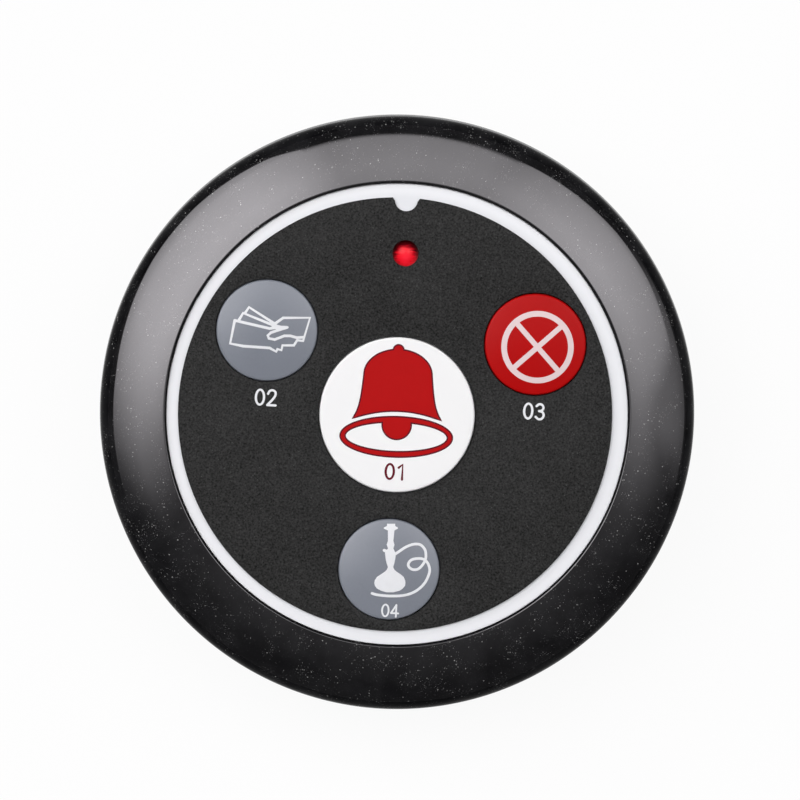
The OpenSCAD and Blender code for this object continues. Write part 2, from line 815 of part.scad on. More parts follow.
module cross_cut() {
    for (turn = [0, 90])
        rotate(turn) translate([0, 0, -bite]) block(cross_l, cross_w, cross_depth + bite);
}

// Both screws are driven upwards: the head's outer face is at z = 0
module countersunk_screw() {
    difference() {
        union() {
            cylinder(r1 = cover_head_d / 2, r2 = cover_screw_d / 2, h = cover_head_h);
            cylinder(d = cover_screw_d, h = cover_screw_l);
        }
        cross_cut();
    }
}

module pan_screw() {
    difference() {
        union() {
            cylinder(d = small_head_d, h = small_head_h);
            cylinder(d = small_screw_d, h = small_head_h + small_screw_l);
        }
        cross_cut();
    }
}

module cover_screws() {
    color([0.2, 0.2, 0.22])
    ring_of(cover_screw_angles, cover_boss_circle_r, z_cover + cover_head_sink)
        countersunk_screw();
}

module carrier_screws() {
    color([0.75, 0.76, 0.78]) ring_of(ear_angles, ear_circle_r, z_ear - small_head_h) pan_screw();
}

module board_screws() {
    color([0.75, 0.76, 0.78])
    ring_of(board_post_angles, board_post_circle_r, z_board - small_head_h) pan_screw();
}

top_shell();
carrier_plate();
face_film();
call_button();
bill_button();
cancel_button();
pipe_button();
switch_plunger(0);  // call_switch_plunger
switch_plunger(1);  // bill_switch_plunger
switch_plunger(2);  // cancel_switch_plunger
switch_plunger(3);  // pipe_switch_plunger
switch_dome(0);  // call_switch_dome
switch_dome(1);  // bill_switch_dome
switch_dome(2);  // cancel_switch_dome
switch_dome(3);  // pipe_switch_dome
switch_base(0);  // call_switch_base
switch_base(1);  // bill_switch_base
switch_base(2);  // cancel_switch_base
switch_base(3);  // pipe_switch_base
switch_cover(0);  // call_switch_cover
switch_cover(1);  // bill_switch_cover
switch_cover(2);  // cancel_switch_cover
switch_cover(3);  // pipe_switch_cover
switch_terminals();
indicator_led();
led_leads();
led_spacer();
circuit_board();
encoder_chip();
chip_leads();
resonator_can();
transistor();
filter_capacitor();
inductor();
chip_resistors();
chip_capacitors();
antenna_wire();
coin_cell();
cell_strap();
cell_contact();
bottom_cover();
foot_pad();
cover_screws();
carrier_screws();
board_screws();
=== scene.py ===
# %% [markdown]
# # A table call button, dressed for its portrait
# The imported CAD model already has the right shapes, sizes and joints. This notebook gives it
# its looks: a glossy bezel with pale flakes, a white ring, a dark grained film, four printed
# keys and a red lamp. Every length below is written in millimetres, as in the CAD source, and
# `MM` turns it into Blender's metres.

import json
import math

import bmesh
import bpy
from mathutils import Matrix, Vector


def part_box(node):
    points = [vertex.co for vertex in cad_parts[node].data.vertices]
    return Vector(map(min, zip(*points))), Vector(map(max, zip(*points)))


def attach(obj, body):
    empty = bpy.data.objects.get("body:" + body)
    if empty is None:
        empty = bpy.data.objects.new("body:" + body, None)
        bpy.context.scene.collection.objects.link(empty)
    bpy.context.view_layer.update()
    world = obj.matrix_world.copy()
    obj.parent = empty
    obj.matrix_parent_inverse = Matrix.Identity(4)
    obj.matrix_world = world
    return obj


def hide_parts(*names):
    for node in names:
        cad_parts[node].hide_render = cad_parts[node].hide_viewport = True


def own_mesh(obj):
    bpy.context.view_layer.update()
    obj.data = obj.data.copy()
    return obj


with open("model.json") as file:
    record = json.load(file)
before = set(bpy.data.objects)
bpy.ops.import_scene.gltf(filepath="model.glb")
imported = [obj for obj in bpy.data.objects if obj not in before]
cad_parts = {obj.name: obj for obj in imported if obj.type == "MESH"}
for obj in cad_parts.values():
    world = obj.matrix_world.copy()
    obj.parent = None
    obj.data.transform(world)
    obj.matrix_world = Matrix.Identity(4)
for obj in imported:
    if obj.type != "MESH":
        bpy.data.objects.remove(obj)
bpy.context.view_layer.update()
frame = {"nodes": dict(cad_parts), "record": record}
MM = 0.001

# %% [markdown]
# ## The sizes that the pieces share
# The case is a stack of turned shapes, so a few heights and radii place everything. Heights that
# the CAD boxes can tell are read from them. The radii are the CAD source's, apart from the joint
# between the bezel and the white ring: the CAD leaves 0.35 mm there (23.35 and 23.0), and here it
# is drawn 0.11 mm wide, with a black rib behind it that stands in for the joint's shade. The
# rounded lip beside it looks dark too.

# %% Shared sizes
def top_of(node):
    """Height of a CAD node's highest point, in millimetres."""
    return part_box(node)[1][2] / MM


def bottom_of(node):
    """Height of a CAD node's lowest point, in millimetres."""
    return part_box(node)[0][2] / MM


def at_angle(radius, degrees, centre=(0.0, 0.0)):
    """A place at a radius and a direction from a centre."""
    a = math.radians(degrees)
    return (centre[0] + radius * math.cos(a), centre[1] + radius * math.sin(a))


Z_FILM_TOP = top_of("face_film")
Z_FACE = bottom_of("face_film")
Z_CAP_TOP = top_of("call_button")
Z_PARTING = bottom_of("top_shell")

CASE_R = 30.0
OPENING_R = 23.2
# painted shade: a black rib behind the ring's joint stands in for the joint's shade
SHADE_RIB_R = 23.13
DECK_R = 23.09
FILM_R = 21.7
CALL_CAP_R = 7.75
OUTER_CAP_R = 5.05
KEY_CIRCLE_R = 15.5
LAMP_AT = (0.0, 16.15)

KEY_PLACES = {
    "call": (0.0, 0.0),
    "bill": at_angle(KEY_CIRCLE_R, 150),
    "cancel": at_angle(KEY_CIRCLE_R, 30),
    "pipe": (0.0, -KEY_CIRCLE_R),
}
CAP_RADII = {"call": CALL_CAP_R, "bill": OUTER_CAP_R, "cancel": OUTER_CAP_R, "pipe": OUTER_CAP_R}
print("film top", round(Z_FILM_TOP, 2), "cap top", round(Z_CAP_TOP, 2), "parting", Z_PARTING)

# %% [markdown]
# ## Turned and flat solids
# Nearly everything on this object is either turned about an upright axis, like the bezel, or cut
# from a flat sheet, like the film and the printing. Two small helpers make both. They work in
# millimetres in a `bmesh`, because very small numbers in metres upset the face filler, and the
# finished mesh is scaled to metres at the end.

# %% Turn an outline, cut a flat sheet
def arc(centre, radius, start, end, steps):
    """Points along an arc, with its angles in degrees."""
    return [at_angle(radius, start + (end - start) * i / steps, centre) for i in range(steps + 1)]


def turned(bm, outline, at=(0.0, 0.0), steps=192):
    """Adds a turned solid. The outline's points are (radius, height), in order."""
    rings = []
    for radius, height in outline:
        angles = [0.0] if radius < 1e-6 else [math.tau * i / steps for i in range(steps)]
        rings.append([
            bm.verts.new((at[0] + radius * math.cos(a), at[1] + radius * math.sin(a), height))
            for a in angles
        ])
    for low, high in zip(rings, rings[1:] + rings[:1]):
        for i in range(max(len(low), len(high))):
            if len(low) == len(high) == 1:
                break
            j = (i + 1) % steps
            if len(low) == 1:
                bm.faces.new((low[0], high[i], high[j]))
            elif len(high) == 1:
                bm.faces.new((low[i], low[j], high[0]))
            else:
                bm.faces.new((low[i], low[j], high[j], high[i]))


def tube(bm, place, hole_r, radius, low, high, steps):
    """Adds an upright tube, or a rod where the hole's radius is 0."""
    turned(bm, [(hole_r, low), (radius, low), (radius, high), (hole_r, high)], place, steps)


def moved_in(loop, inset):
    """The loop's points moved sideways by inset, to the left of the way it runs."""
    points = [Vector(p) for p in loop]
    moved = []
    for before, here, after in zip(points[-1:] + points[:-1], points, points[1:] + points[:1]):
        a, b = (here - before).normalized(), (after - here).normalized()
        left = Vector((-a.y - b.y, a.x + b.x))
        moved.append(here + left * inset / max(0.4, 1 + a.dot(b)))
    return moved


def sheet_of(bm, outer, holes, profile):
    """Adds a flat sheet. Loops run anticlockwise, and the profile's points are
    (inset, height) from the underside to the top."""
    rims = ([], [])
    for loop, side in [(outer, 1)] + [(hole, -1) for hole in holes]:
        rings = [
            [bm.verts.new((p.x, p.y, height)) for p in moved_in(loop, side * inset)]
            for inset, height in profile
        ]
        count = len(loop)
        for low, high in zip(rings, rings[1:]):
            for i in range(count):
                j = (i + 1) % count
                bm.faces.new((low[i], low[j], high[j], high[i]))
        for rim, ring in zip(rims, (rings[0], rings[-1])):
            rim.extend(bm.edges.get((ring[i], ring[(i + 1) % count])) for i in range(count))
    for rim in rims:
        bmesh.ops.triangle_fill(bm, edges=rim, use_beauty=True, use_dissolve=False)


def smoothed(mesh, sharp):
    """Smooth shading, but with sharp edges where faces meet at more than an angle."""
    mesh.shade_smooth()
    mesh.set_sharp_from_angle(angle=math.radians(sharp))


def piece(name, bm, sharp=35):
    """Turns a bmesh in millimetres into a smooth-shaded object in metres."""
    bmesh.ops.recalc_face_normals(bm, faces=bm.faces)
    bmesh.ops.scale(bm, vec=(MM, MM, MM), verts=bm.verts)
    mesh = bpy.data.meshes.new(name)
    bm.to_mesh(mesh)
    bm.free()
    smoothed(mesh, sharp)
    obj = bpy.data.objects.new(name, mesh)
    bpy.context.scene.collection.objects.link(obj)
    print(name, "faces:", len(mesh.polygons))
    return obj


def circle(at, radius, steps=128):
    """A round loop, anticlockwise."""
    angles = [math.tau * i / steps for i in range(steps)]
    return [(at[0] + radius * math.cos(a), at[1] + radius * math.sin(a)) for a in angles]


print("helpers ready")

# %% [markdown]
# ## Shader helpers
# Every finish is a Principled BSDF fed by procedural nodes. These helpers keep the node code
# short: one adds a node and fills its inputs, one does a sum, and one starts a material whose
# even values sit directly on the shader's own sockets.

# %% Small node helpers
def add_node(tree, kind, settings=None, **inputs):
    """Adds a node. An input may be a value or another node's socket."""
    new = tree.nodes.new(kind)
    for key, value in (settings or {}).items():
        setattr(new, key, value)
    for key, value in inputs.items():
        numbered = key[0] == "i" and key[1:].isdigit()
        socket = new.inputs[int(key[1:]) if numbered else key.replace("_", " ")]
        if isinstance(value, bpy.types.NodeSocket):
            tree.links.new(value, socket)
        else:
            socket.default_value = value
    return new


def calc(tree, operation, *values, clamp=False):
    """A Math node's output, from sockets or plain numbers."""
    settings = {"operation": operation, "use_clamp": clamp}
    inputs = {f"i{k}": value for k, value in enumerate(values)}
    return add_node(tree, "ShaderNodeMath", settings, **inputs).outputs[0]


def largest(tree, first, *others):
    """The largest of several values."""
    for other in others:
        first = calc(tree, "MAXIMUM", first, other)
    return first


def remap(tree, value, low, high, to_low=0.0, to_high=1.0, smooth=False):
    """A Map Range node's output, held between its ends."""
    kind = {"interpolation_type": "SMOOTHSTEP" if smooth else "LINEAR"}
    return add_node(
        tree, "ShaderNodeMapRange", kind, i0=value, i1=low, i2=high, i3=to_low, i4=to_high
    ).outputs[0]


def mixed(tree, factor, a, b, blend="MIX"):
    """A colour mix. Colours are sockets or (r, g, b)."""
    def colour(c):
        return c if isinstance(c, bpy.types.NodeSocket) else (*c, 1.0)
    kind = {"data_type": "RGBA", "blend_type": blend}
    return add_node(tree, "ShaderNodeMix", kind, i0=factor, i6=colour(a), i7=colour(b)).outputs[2]


def new_finish(name, **sockets):
    """A material with a Principled BSDF. Values that are even all over go straight on it."""
    material = bpy.data.materials.new(name)
    material.use_nodes = True
    tree = material.node_tree
    shader = tree.nodes["Principled BSDF"]
    for key, value in sockets.items():
        shader.inputs[key.replace("_", " ")].default_value = value
    return material, tree, shader


def new_effect(name, inputs, outputs):
    """A shader node group with named sockets. Returns the group and its two end nodes."""
    group = bpy.data.node_groups.new(name, "ShaderNodeTree")
    for socket_name, default in inputs.items():
        socket = group.interface.new_socket(socket_name, in_out="INPUT", socket_type="NodeSocketFloat")
        socket.default_value = default
    for socket_name in outputs:
        group.interface.new_socket(socket_name, in_out="OUTPUT", socket_type="NodeSocketFloat")
    start = group.nodes.new("NodeGroupInput")
    end = group.nodes.new("NodeGroupOutput")
    return group, start, end


def use_effect(tree, group, **inputs):
    """Places an effect in a material with its own values."""
    return add_node(tree, "ShaderNodeGroup", {"node_tree": group}, **inputs).outputs


def place_in_mm(tree):
    """Where a point is on the object, in millimetres."""
    where = add_node(tree, "ShaderNodeTexCoord").outputs["Object"]
    scaled = add_node(tree, "ShaderNodeVectorMath", {"operation": "SCALE"}, i0=where, Scale=1 / MM)
    return scaled.outputs[0]


def times(tree, vector, factors):
    """A vector with each axis multiplied by its own factor."""
    kind = {"operation": "MULTIPLY"}
    return add_node(tree, "ShaderNodeVectorMath", kind, i0=vector, i1=factors).outputs[0]


def reach_sideways(tree, vector):
    """How long a vector is when its height is left out."""
    flat = times(tree, vector, (1.0, 1.0, 0.0))
    return add_node(tree, "ShaderNodeVectorMath", {"operation": "LENGTH"}, i0=flat).outputs["Value"]


def noise(tree, where, scale, **inputs):
    """A Noise texture's value."""
    return add_node(tree, "ShaderNodeTexNoise", i0=where, Scale=scale, **inputs).outputs[0]


def noise_of_size(tree, where, size, **inputs):
    """A Noise texture whose blotches are about as large as a size in millimetres."""
    return noise(tree, where, calc(tree, "DIVIDE", 1.0, size), **inputs)


print("node helpers ready")

# %% [markdown]
# ## Effects shared by several finishes
# Real mouldings are never one flat colour. Three effects come back again and again here: a soft
# mottle with a fine grain under it, a film of dust on faces that look up, and wear on edges. Each
# is one node group, so a material only has to say how strong it is and how large.

# %% The grain, dust and wear effects
def make_grain():
    """Soft blotches and fine grain: Shade moves about 1, Height feeds a bump."""
    group, start, end = new_effect(
        "moulded grain",
        {"Blotch size": 2.0, "Grain size": 0.2, "Depth": 0.1},
        ("Shade", "Height", "Fine"),
    )
    where = place_in_mm(group)
    blotch = noise_of_size(group, where, start.outputs["Blotch size"], Detail=2.0)
    grain = noise_of_size(group, where, start.outputs["Grain size"], Detail=3.0, Roughness=0.6)
    both = calc(group, "ADD", calc(group, "MULTIPLY", blotch, 0.6), calc(group, "MULTIPLY", grain, 0.4))
    swing = calc(group, "MULTIPLY", calc(group, "SUBTRACT", both, 0.5), start.outputs["Depth"])
    group.links.new(calc(group, "ADD", 1.0, swing), end.inputs["Shade"])
    group.links.new(grain, end.inputs["Height"])
    group.links.new(remap(group, grain, 0.35, 0.65), end.inputs["Fine"])
    return group


def make_dust():
    """A mask of fine dust that settles on faces that look up."""
    group, start, end = new_effect("settled dust", {"Amount": 0.2}, ("Mask",))
    where = place_in_mm(group)
    normal = add_node(group, "ShaderNodeNewGeometry").outputs["Normal"]
    up = add_node(group, "ShaderNodeSeparateXYZ", i0=normal).outputs[2]
    drift = remap(group, noise(group, where, 0.25, Detail=4.0), 0.4, 0.75)
    speck = remap(group, noise(group, where, 9.0, Detail=1.0), 0.55, 0.8, 0.3, 1.0)
    mask = calc(group, "MULTIPLY", remap(group, up, 0.4, 1.0), calc(group, "MULTIPLY", drift, speck))
    mask = calc(group, "MULTIPLY", mask, start.outputs["Amount"], clamp=True)
    group.links.new(mask, end.inputs["Mask"])
    return group


def make_wear():
    """A mask of rubbed edges, broken up by a noise."""
    group, start, end = new_effect("edge wear", {"Amount": 0.5, "Patch size": 1.5}, ("Mask",))
    where = place_in_mm(group)
    point = add_node(group, "ShaderNodeNewGeometry").outputs["Pointiness"]
    patch = noise_of_size(group, where, start.outputs["Patch size"], Detail=3.0)
    mask = calc(group, "MULTIPLY", remap(group, point, 0.52, 0.6), remap(group, patch, 0.4, 0.7))
    mask = calc(group, "MULTIPLY", mask, start.outputs["Amount"], clamp=True)
    group.links.new(mask, end.inputs["Mask"])
    return group


GRAIN, DUST, WEAR = make_grain(), make_dust(), make_wear()
print("effects:", [g.name for g in (GRAIN, DUST, WEAR)])

# %% [markdown]
# ## Flakes and brushing
# The bezel's lacquer holds sparse pale flakes, some alone and some in clusters. A Voronoi texture
# gives every cell its own random number, so only a few cells light up, and a slow noise makes
# the clusters. Brushed and pressed steel needs the opposite: a noise stretched along one way.

# %% The flake and brushing effects
def make_flakes():
    """Sparse pale flakes: Mask says where, Glint how bright each one is."""
    group, start, end = new_effect(
        "lacquer flakes", {"Flake size": 0.16, "Share": 0.04}, ("Mask", "Glint")
    )
    where = place_in_mm(group)
    cells = add_node(
        group, "ShaderNodeTexVoronoi", i0=where, Randomness=1.0,
        Scale=calc(group, "DIVIDE", 1.0, start.outputs["Flake size"]),
    )
    dice = add_node(group, "ShaderNodeSeparateColor", i0=cells.outputs["Color"])
    crowding = remap(group, noise(group, where, 0.5, Detail=3.0), 0.42, 0.68, 0.15, 2.6)
    share = calc(group, "MULTIPLY", start.outputs["Share"], crowding)
    chosen = calc(group, "LESS_THAN", dice.outputs[0], share)
    core = remap(group, cells.outputs["Distance"], 0.42, 0.2)
    group.links.new(calc(group, "MULTIPLY", chosen, core), end.inputs["Mask"])
    group.links.new(calc(group, "POWER", dice.outputs[1], 2.0), end.inputs["Glint"])
    return group


def make_brushing():
    """Fine streaks along X: Shade moves about 1, Height feeds a bump."""
    group, start, end = new_effect(
        "brushed streaks", {"Streak size": 0.08, "Depth": 0.2}, ("Shade", "Height")
    )
    squeezed = times(group, place_in_mm(group), (0.06, 1.0, 1.0))
    streak = noise_of_size(group, squeezed, start.outputs["Streak size"], Detail=2.0)
    swing = calc(group, "MULTIPLY", calc(group, "SUBTRACT", streak, 0.5), start.outputs["Depth"])
    group.links.new(calc(group, "ADD", 1.0, swing), end.inputs["Shade"])
    group.links.new(streak, end.inputs["Height"])
    return group


FLAKES, BRUSHING = make_flakes(), make_brushing()
print("effects:", [g.name for g in (FLAKES, BRUSHING)])

# %% [markdown]
# ## Plain finishes: moulded plastic and metal
# Most hidden pieces are one of two kinds. Moulded plastic gets blotches, grain, a little dust and
# rubbed edges. Metal gets streaks and a changing roughness. Two functions make them all, and each
# material passes its own colour and sizes, so no two of them look the same.

# %% Moulded plastic and metal
def shaded(tree, colour, shade):
    """A colour times a shade that moves about 1."""
    grey = add_node(tree, "ShaderNodeCombineColor", i0=shade, i1=shade, i2=shade).outputs[0]
    return mixed(tree, 1.0, colour, grey, "MULTIPLY")


def surfaced(tree, shader, base, fine, low, high, height=None, bump=0.0):
    """Gives the shader its colour, a roughness that the fine grain moves between two values,
    and a bump, whose distance is in millimetres."""
    tree.links.new(base, shader.inputs["Base Color"])
    tree.links.new(remap(tree, fine, 0.0, 1.0, low, high), shader.inputs["Roughness"])
    if bump:
        relief = add_node(tree, "ShaderNodeBump", Height=height, Distance=bump * MM, Strength=1.0)
        tree.links.new(relief.outputs[0], shader.inputs["Normal"])


def dusted(tree, base, amount, colour):
    """A base colour under a film of dust."""
    return mixed(tree, use_effect(tree, DUST, Amount=amount)["Mask"], base, colour)


GREY_DUST = (0.5, 0.49, 0.47)


def moulded(
    name, colour, roughness, blotch=2.0, grain=0.15, depth=0.2, bump=0.004, dust=0.2, wear=0.3
):
    """Moulded or printed plastic, rubber or ceramic."""
    material, tree, shader = new_finish(name)
    skin = use_effect(tree, GRAIN, Blotch_size=blotch, Grain_size=grain, Depth=depth)
    base = shaded(tree, colour, skin["Shade"])
    paler = [min(1.0, c * 1.5 + 0.05) for c in colour]
    base = mixed(tree, use_effect(tree, WEAR, Amount=wear)["Mask"], base, paler)
    base = dusted(tree, base, dust, GREY_DUST)
    low, high = roughness - 0.06, roughness + 0.08
    surfaced(tree, shader, base, skin["Fine"], low, high, skin["Height"], bump)
    return material


def metal(name, colour, roughness, streak=0.08, depth=0.3):
    """Bare, plated or enamelled metal."""
    material, tree, shader = new_finish(name, Metallic=1.0)
    brush = use_effect(tree, BRUSHING, Streak_size=streak, Depth=depth)
    skin = use_effect(tree, GRAIN, Blotch_size=1.2, Grain_size=0.1, Depth=0.25)
    base = shaded(tree, shaded(tree, colour, brush["Shade"]), skin["Shade"])
    low, high = roughness - 0.08, roughness + 0.1
    surfaced(tree, shader, base, skin["Fine"], low, high, brush["Height"], 0.001)
    return material


print("finishes ready")

# %% [markdown]
# ## The bezel and side wall
# The case top is one glossy moulding: a gentle crown, a tight rounded edge and a slightly bulged
# side. The CAD node's facets would show as kinks in the sharp reflections of such a gloss, so
# its arcs are turned again here with many more steps, and the new piece takes the node's place.
# Its lip is a little sharper than the CAD's (0.14 mm for 0.25 mm) and reaches 0.15 mm further in.
# A thin black rib closes the joint round the white ring and stands in for its shade, which
# makes it look black. The screw bosses hang inside, out of sight.

# %% Turn the bezel shell
Z_BELLY = 9.0
BULGE_R, EDGE_R, CROWN_R, LIP_R, LIP_SLOPE = 45.0, 2.6, 22.0, 0.14, 7.0
SHELL_R, BEZEL_T, INNER_CHAMFER, SEAM_CHAMFER = 28.2, 1.9, 1.8, 0.2
Z_CROWN = Z_FACE + 0.5
Z_BEZEL_UNDER = Z_CROWN - BEZEL_T
# top of the black rib that stands in for the joint's shade
Z_SHADE_RIB = 14.95

slope = math.radians(LIP_SLOPE)
lip_at = Vector((OPENING_R + LIP_R, Z_CROWN - LIP_R))
crown_at = lip_at - (CROWN_R - LIP_R) * Vector((math.sin(slope), math.cos(slope)))
bulge_at = Vector((CASE_R - BULGE_R, Z_BELLY))


def where_circles_meet(c0, r0, c1, r1):
    """The outer of the two points where two circles meet."""
    gap = c1 - c0
    along = (r0 * r0 - r1 * r1 + gap.length_squared) / (2 * gap.length)
    across = math.sqrt(r0 * r0 - along * along)
    u = gap.normalized()
    return c0 + along * u + across * Vector((u.y, -u.x))


def angle_of(v):
    """A vector's direction in degrees."""
    return math.degrees(math.atan2(v.y, v.x))


edge_at = where_circles_meet(crown_at, CROWN_R - EDGE_R, bulge_at, BULGE_R - EDGE_R)
crown_end, bulge_top = angle_of(edge_at - crown_at), angle_of(edge_at - bulge_at)
bulge_low = math.degrees(math.asin((Z_PARTING - Z_BELLY) / BULGE_R))
parting_r = bulge_at.x + BULGE_R * math.cos(math.radians(bulge_low))

bezel_outline = (
    arc(lip_at, LIP_R, 180, 90 - LIP_SLOPE, 8)
    + arc(crown_at, CROWN_R, 90 - LIP_SLOPE, crown_end, 40)[1:]
    + arc(edge_at, EDGE_R, crown_end, bulge_top, 40)[1:]
    + arc(bulge_at, BULGE_R, bulge_top, bulge_low + math.degrees(SEAM_CHAMFER / BULGE_R), 24)[1:]
    + [
        (parting_r - SEAM_CHAMFER, Z_PARTING),
        (SHELL_R, Z_PARTING),
        (SHELL_R, Z_BEZEL_UNDER - INNER_CHAMFER),
        (SHELL_R - INNER_CHAMFER, Z_BEZEL_UNDER),
        # painted shade: this black rib under the joint stands in for its shade
        (SHADE_RIB_R, Z_BEZEL_UNDER),
        (SHADE_RIB_R, Z_SHADE_RIB),
        (OPENING_R, Z_SHADE_RIB),
    ]
)
BOSS_ANGLES, BOSS_CIRCLE_R, BOSS_R, PILOT_R = (90, 210, 330), 26.2, 2.3, 1.02
EAR_ANGLES, EAR_CIRCLE_R, EAR_BOSS_R, SMALL_PILOT_R = (30, 150, 270), 24.7, 1.9, 0.92
Z_FLOOR, Z_EAR_TOP = 2.3, 12.2
BITE = 0.3

bm = bmesh.new()
turned(bm, bezel_outline, steps=360)
for angle in BOSS_ANGLES:
    place = at_angle(BOSS_CIRCLE_R, angle)
    tube(bm, place, PILOT_R, BOSS_R, Z_FLOOR, Z_BEZEL_UNDER + BITE, 48)
for angle in EAR_ANGLES:
    place = at_angle(EAR_CIRCLE_R, angle)
    tube(bm, place, SMALL_PILOT_R, EAR_BOSS_R, Z_EAR_TOP, Z_BEZEL_UNDER + BITE, 40)
bezel = piece("bezel_shell", bm)
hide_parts("top_shell")
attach(bezel, "case")
print("crown ends at radius", round(edge_at.x + EDGE_R * math.cos(math.radians(crown_end)), 2))

# %% [markdown]
# ## The bezel's lacquer
# Black plastic under a clear coat: nearly black below, a mirror above. The pale flakes sit in the
# coat, so they change the base colour only. A faint cloudiness in the base keeps the reflected
# lights from looking computed. The side wall has the same colour without the thick coat, so it
# mirrors the pale table much less than the crown mirrors the lights.

# %% Bezel lacquer
def lacquer(name, coat, ior, roughness=0.08, level=0.5):
    """Black plastic with pale flakes, under a clear coat or bare."""
    material, tree, shader = new_finish(
        name, Coat_Weight=coat, Coat_Roughness=0.03, Coat_IOR=1.5, IOR=ior, Specular_IOR_Level=level,
        Specular_Tint=(1.0, 0.95, 1.0, 1.0),
    )
    flakes = use_effect(tree, FLAKES, Flake_size=0.19, Share=0.07)
    fine = use_effect(tree, FLAKES, Flake_size=0.11, Share=0.14)
    skin = use_effect(tree, GRAIN, Blotch_size=3.0, Grain_size=0.35, Depth=1.6)
    base = shaded(tree, (0.003, 0.003, 0.0036), skin["Shade"])
    cloud = noise(tree, place_in_mm(tree), 0.3, Detail=5.0, Roughness=0.6)
    base = mixed(tree, remap(tree, cloud, 0.4, 0.66, 0.0, 0.013), base, (0.6, 0.6, 0.63))
    glint = remap(tree, flakes["Glint"], 0.0, 1.0, 0.06, 0.6)
    base = mixed(tree, calc(tree, "MULTIPLY", flakes["Mask"], glint), base, (0.62, 0.62, 0.6))
    glint = remap(tree, fine["Glint"], 0.0, 1.0, 0.04, 0.34)
    base = mixed(tree, calc(tree, "MULTIPLY", fine["Mask"], glint), base, (0.5, 0.5, 0.5))
    base = dusted(tree, base, 0.02, GREY_DUST)
    surfaced(tree, shader, base, skin["Fine"], roughness - 0.02, roughness + 0.03)
    return material


SIDE_WALL_SLOPE = 0.76
bezel.data.materials.append(lacquer("bezel lacquer", coat=1.0, ior=1.62))
bezel.data.materials.append(lacquer("side wall", coat=0.0, ior=1.25, roughness=0.2, level=0.05))
for face in bezel.data.polygons:
    face.material_index = int(face.normal.z < SIDE_WALL_SLOPE)
print("side wall faces:", sum(face.material_index for face in bezel.data.polygons))

# %% [markdown]
# ## Dressing the CAD nodes
# The other solids already have the right shape, so they only get a finish. A small table says
# which finish each node takes. The white parts, the film and the keys have their own recipes,
# because they are what the eye rests on.

# %% Finishes for the face
def film_print():
    """The dark face film: fine pressed grain, mottled a little, with a few pale specks."""
    material, tree, shader = new_finish("face film", Specular_IOR_Level=0.1)
    skin = use_effect(tree, GRAIN, Blotch_size=0.2, Grain_size=0.13, Depth=5.4)
    speck = use_effect(tree, FLAKES, Flake_size=0.16, Share=0.03)
    base = shaded(tree, (0.024, 0.024, 0.0235), skin["Shade"])
    base = mixed(tree, calc(tree, "MULTIPLY", speck["Mask"], 0.12), base, (0.4, 0.4, 0.4))
    base = dusted(tree, base, 0.03, (0.4, 0.4, 0.4))
    surfaced(tree, shader, base, skin["Fine"], 0.42, 0.6, skin["Height"], 0.01)
    return material


def satin(name, colour, roughness, level=0.4, depth=0.03, dust=0.04, painted_film_shadow=False):
    """Satin moulding for the ring and the keys. On the ring, a painted shadow of the film darkens it
    beside the film.
    """
    material, tree, shader = new_finish(name, Specular_IOR_Level=level)
    skin = use_effect(tree, GRAIN, Blotch_size=3.0, Grain_size=0.25, Depth=depth)
    base = shaded(tree, colour, skin["Shade"])
    base = dusted(tree, base, dust, (0.6, 0.6, 0.58))
    if painted_film_shadow:
        # painted shade: a bluish-grey shadow of the film, strongest at the film's edge and fading
        # outward
        away = reach_sideways(tree, place_in_mm(tree))
        film_shadow_mask = remap(tree, away, FILM_R - 0.1, FILM_R + 0.8, 0.16, 0.0, smooth=True)
        base = mixed(tree, film_shadow_mask, base, (0.4, 0.42, 0.46))
    low, high = roughness - 0.015, roughness + 0.02
    surfaced(tree, shader, base, skin["Fine"], low, high, skin["Height"], 0.0015)
    return material


FINISHES = {
    # the white face takes a painted shadow of the film beside the film
    "face_white": satin(
        "face white", (0.925, 0.935, 0.955), 0.32, level=0.3, dust=0.02, painted_film_shadow=True
    ),
    "film_dark": film_print(),
    "cap_white": satin("key white", (0.965, 0.965, 0.96), 0.45, level=0.2, dust=0.01),
    "cap_grey": satin("key grey", (0.218, 0.236, 0.274), 0.25, level=0.55, depth=0.2),
    "cap_red": satin("key red", (0.47, 0.003, 0.0032), 0.32, level=0.09, depth=0.14, dust=0.01),
    "nylon_white": moulded("lamp spacer nylon", (0.72, 0.72, 0.68), 0.5, dust=0.05),
    "board_green": moulded(
        "board solder mask", (0.008, 0.09, 0.035), 0.32, blotch=4.0, depth=0.3, wear=0.0
    ),
    "moulded_black": moulded("moulded black", (0.02, 0.02, 0.02), 0.55, depth=0.3),
    "can_nickel": metal("nickel can", (0.62, 0.6, 0.56), 0.22),
    "sleeve_blue": moulded("shrink sleeve", (0.01, 0.014, 0.06), 0.3, wear=0.4),
    "ferrite_grey": moulded("ferrite", (0.1, 0.095, 0.09), 0.7, grain=0.08, depth=0.5, bump=0.01),
    "ceramic_tan": moulded("fired ceramic", (0.34, 0.22, 0.12), 0.6, grain=0.1, depth=0.35),
    "copper_enamel": metal("enamelled copper", (0.55, 0.2, 0.08), 0.2, streak=0.05),
    "cell_steel": metal("cell steel", (0.6, 0.61, 0.62), 0.25, streak=0.05),
    "spring_steel": metal("spring steel", (0.5, 0.51, 0.53), 0.3),
    "tinned_steel": metal("tinned steel", (0.6, 0.6, 0.58), 0.4, depth=0.5),
    "contact_gold": metal("gold contact", (0.75, 0.52, 0.2), 0.25),
    "cover_black": moulded("cover black", (0.016, 0.016, 0.018), 0.5, grain=0.12, depth=0.4, bump=0.02),
    "pad_rubber": moulded(
        "foam rubber", (0.035, 0.035, 0.037), 0.85, grain=0.2, depth=0.8, bump=0.05, wear=0.1
    ),
    "screw_black": metal("blackened screw", (0.06, 0.06, 0.063), 0.35, depth=0.4),
}
print("finishes:", len(FINISHES))

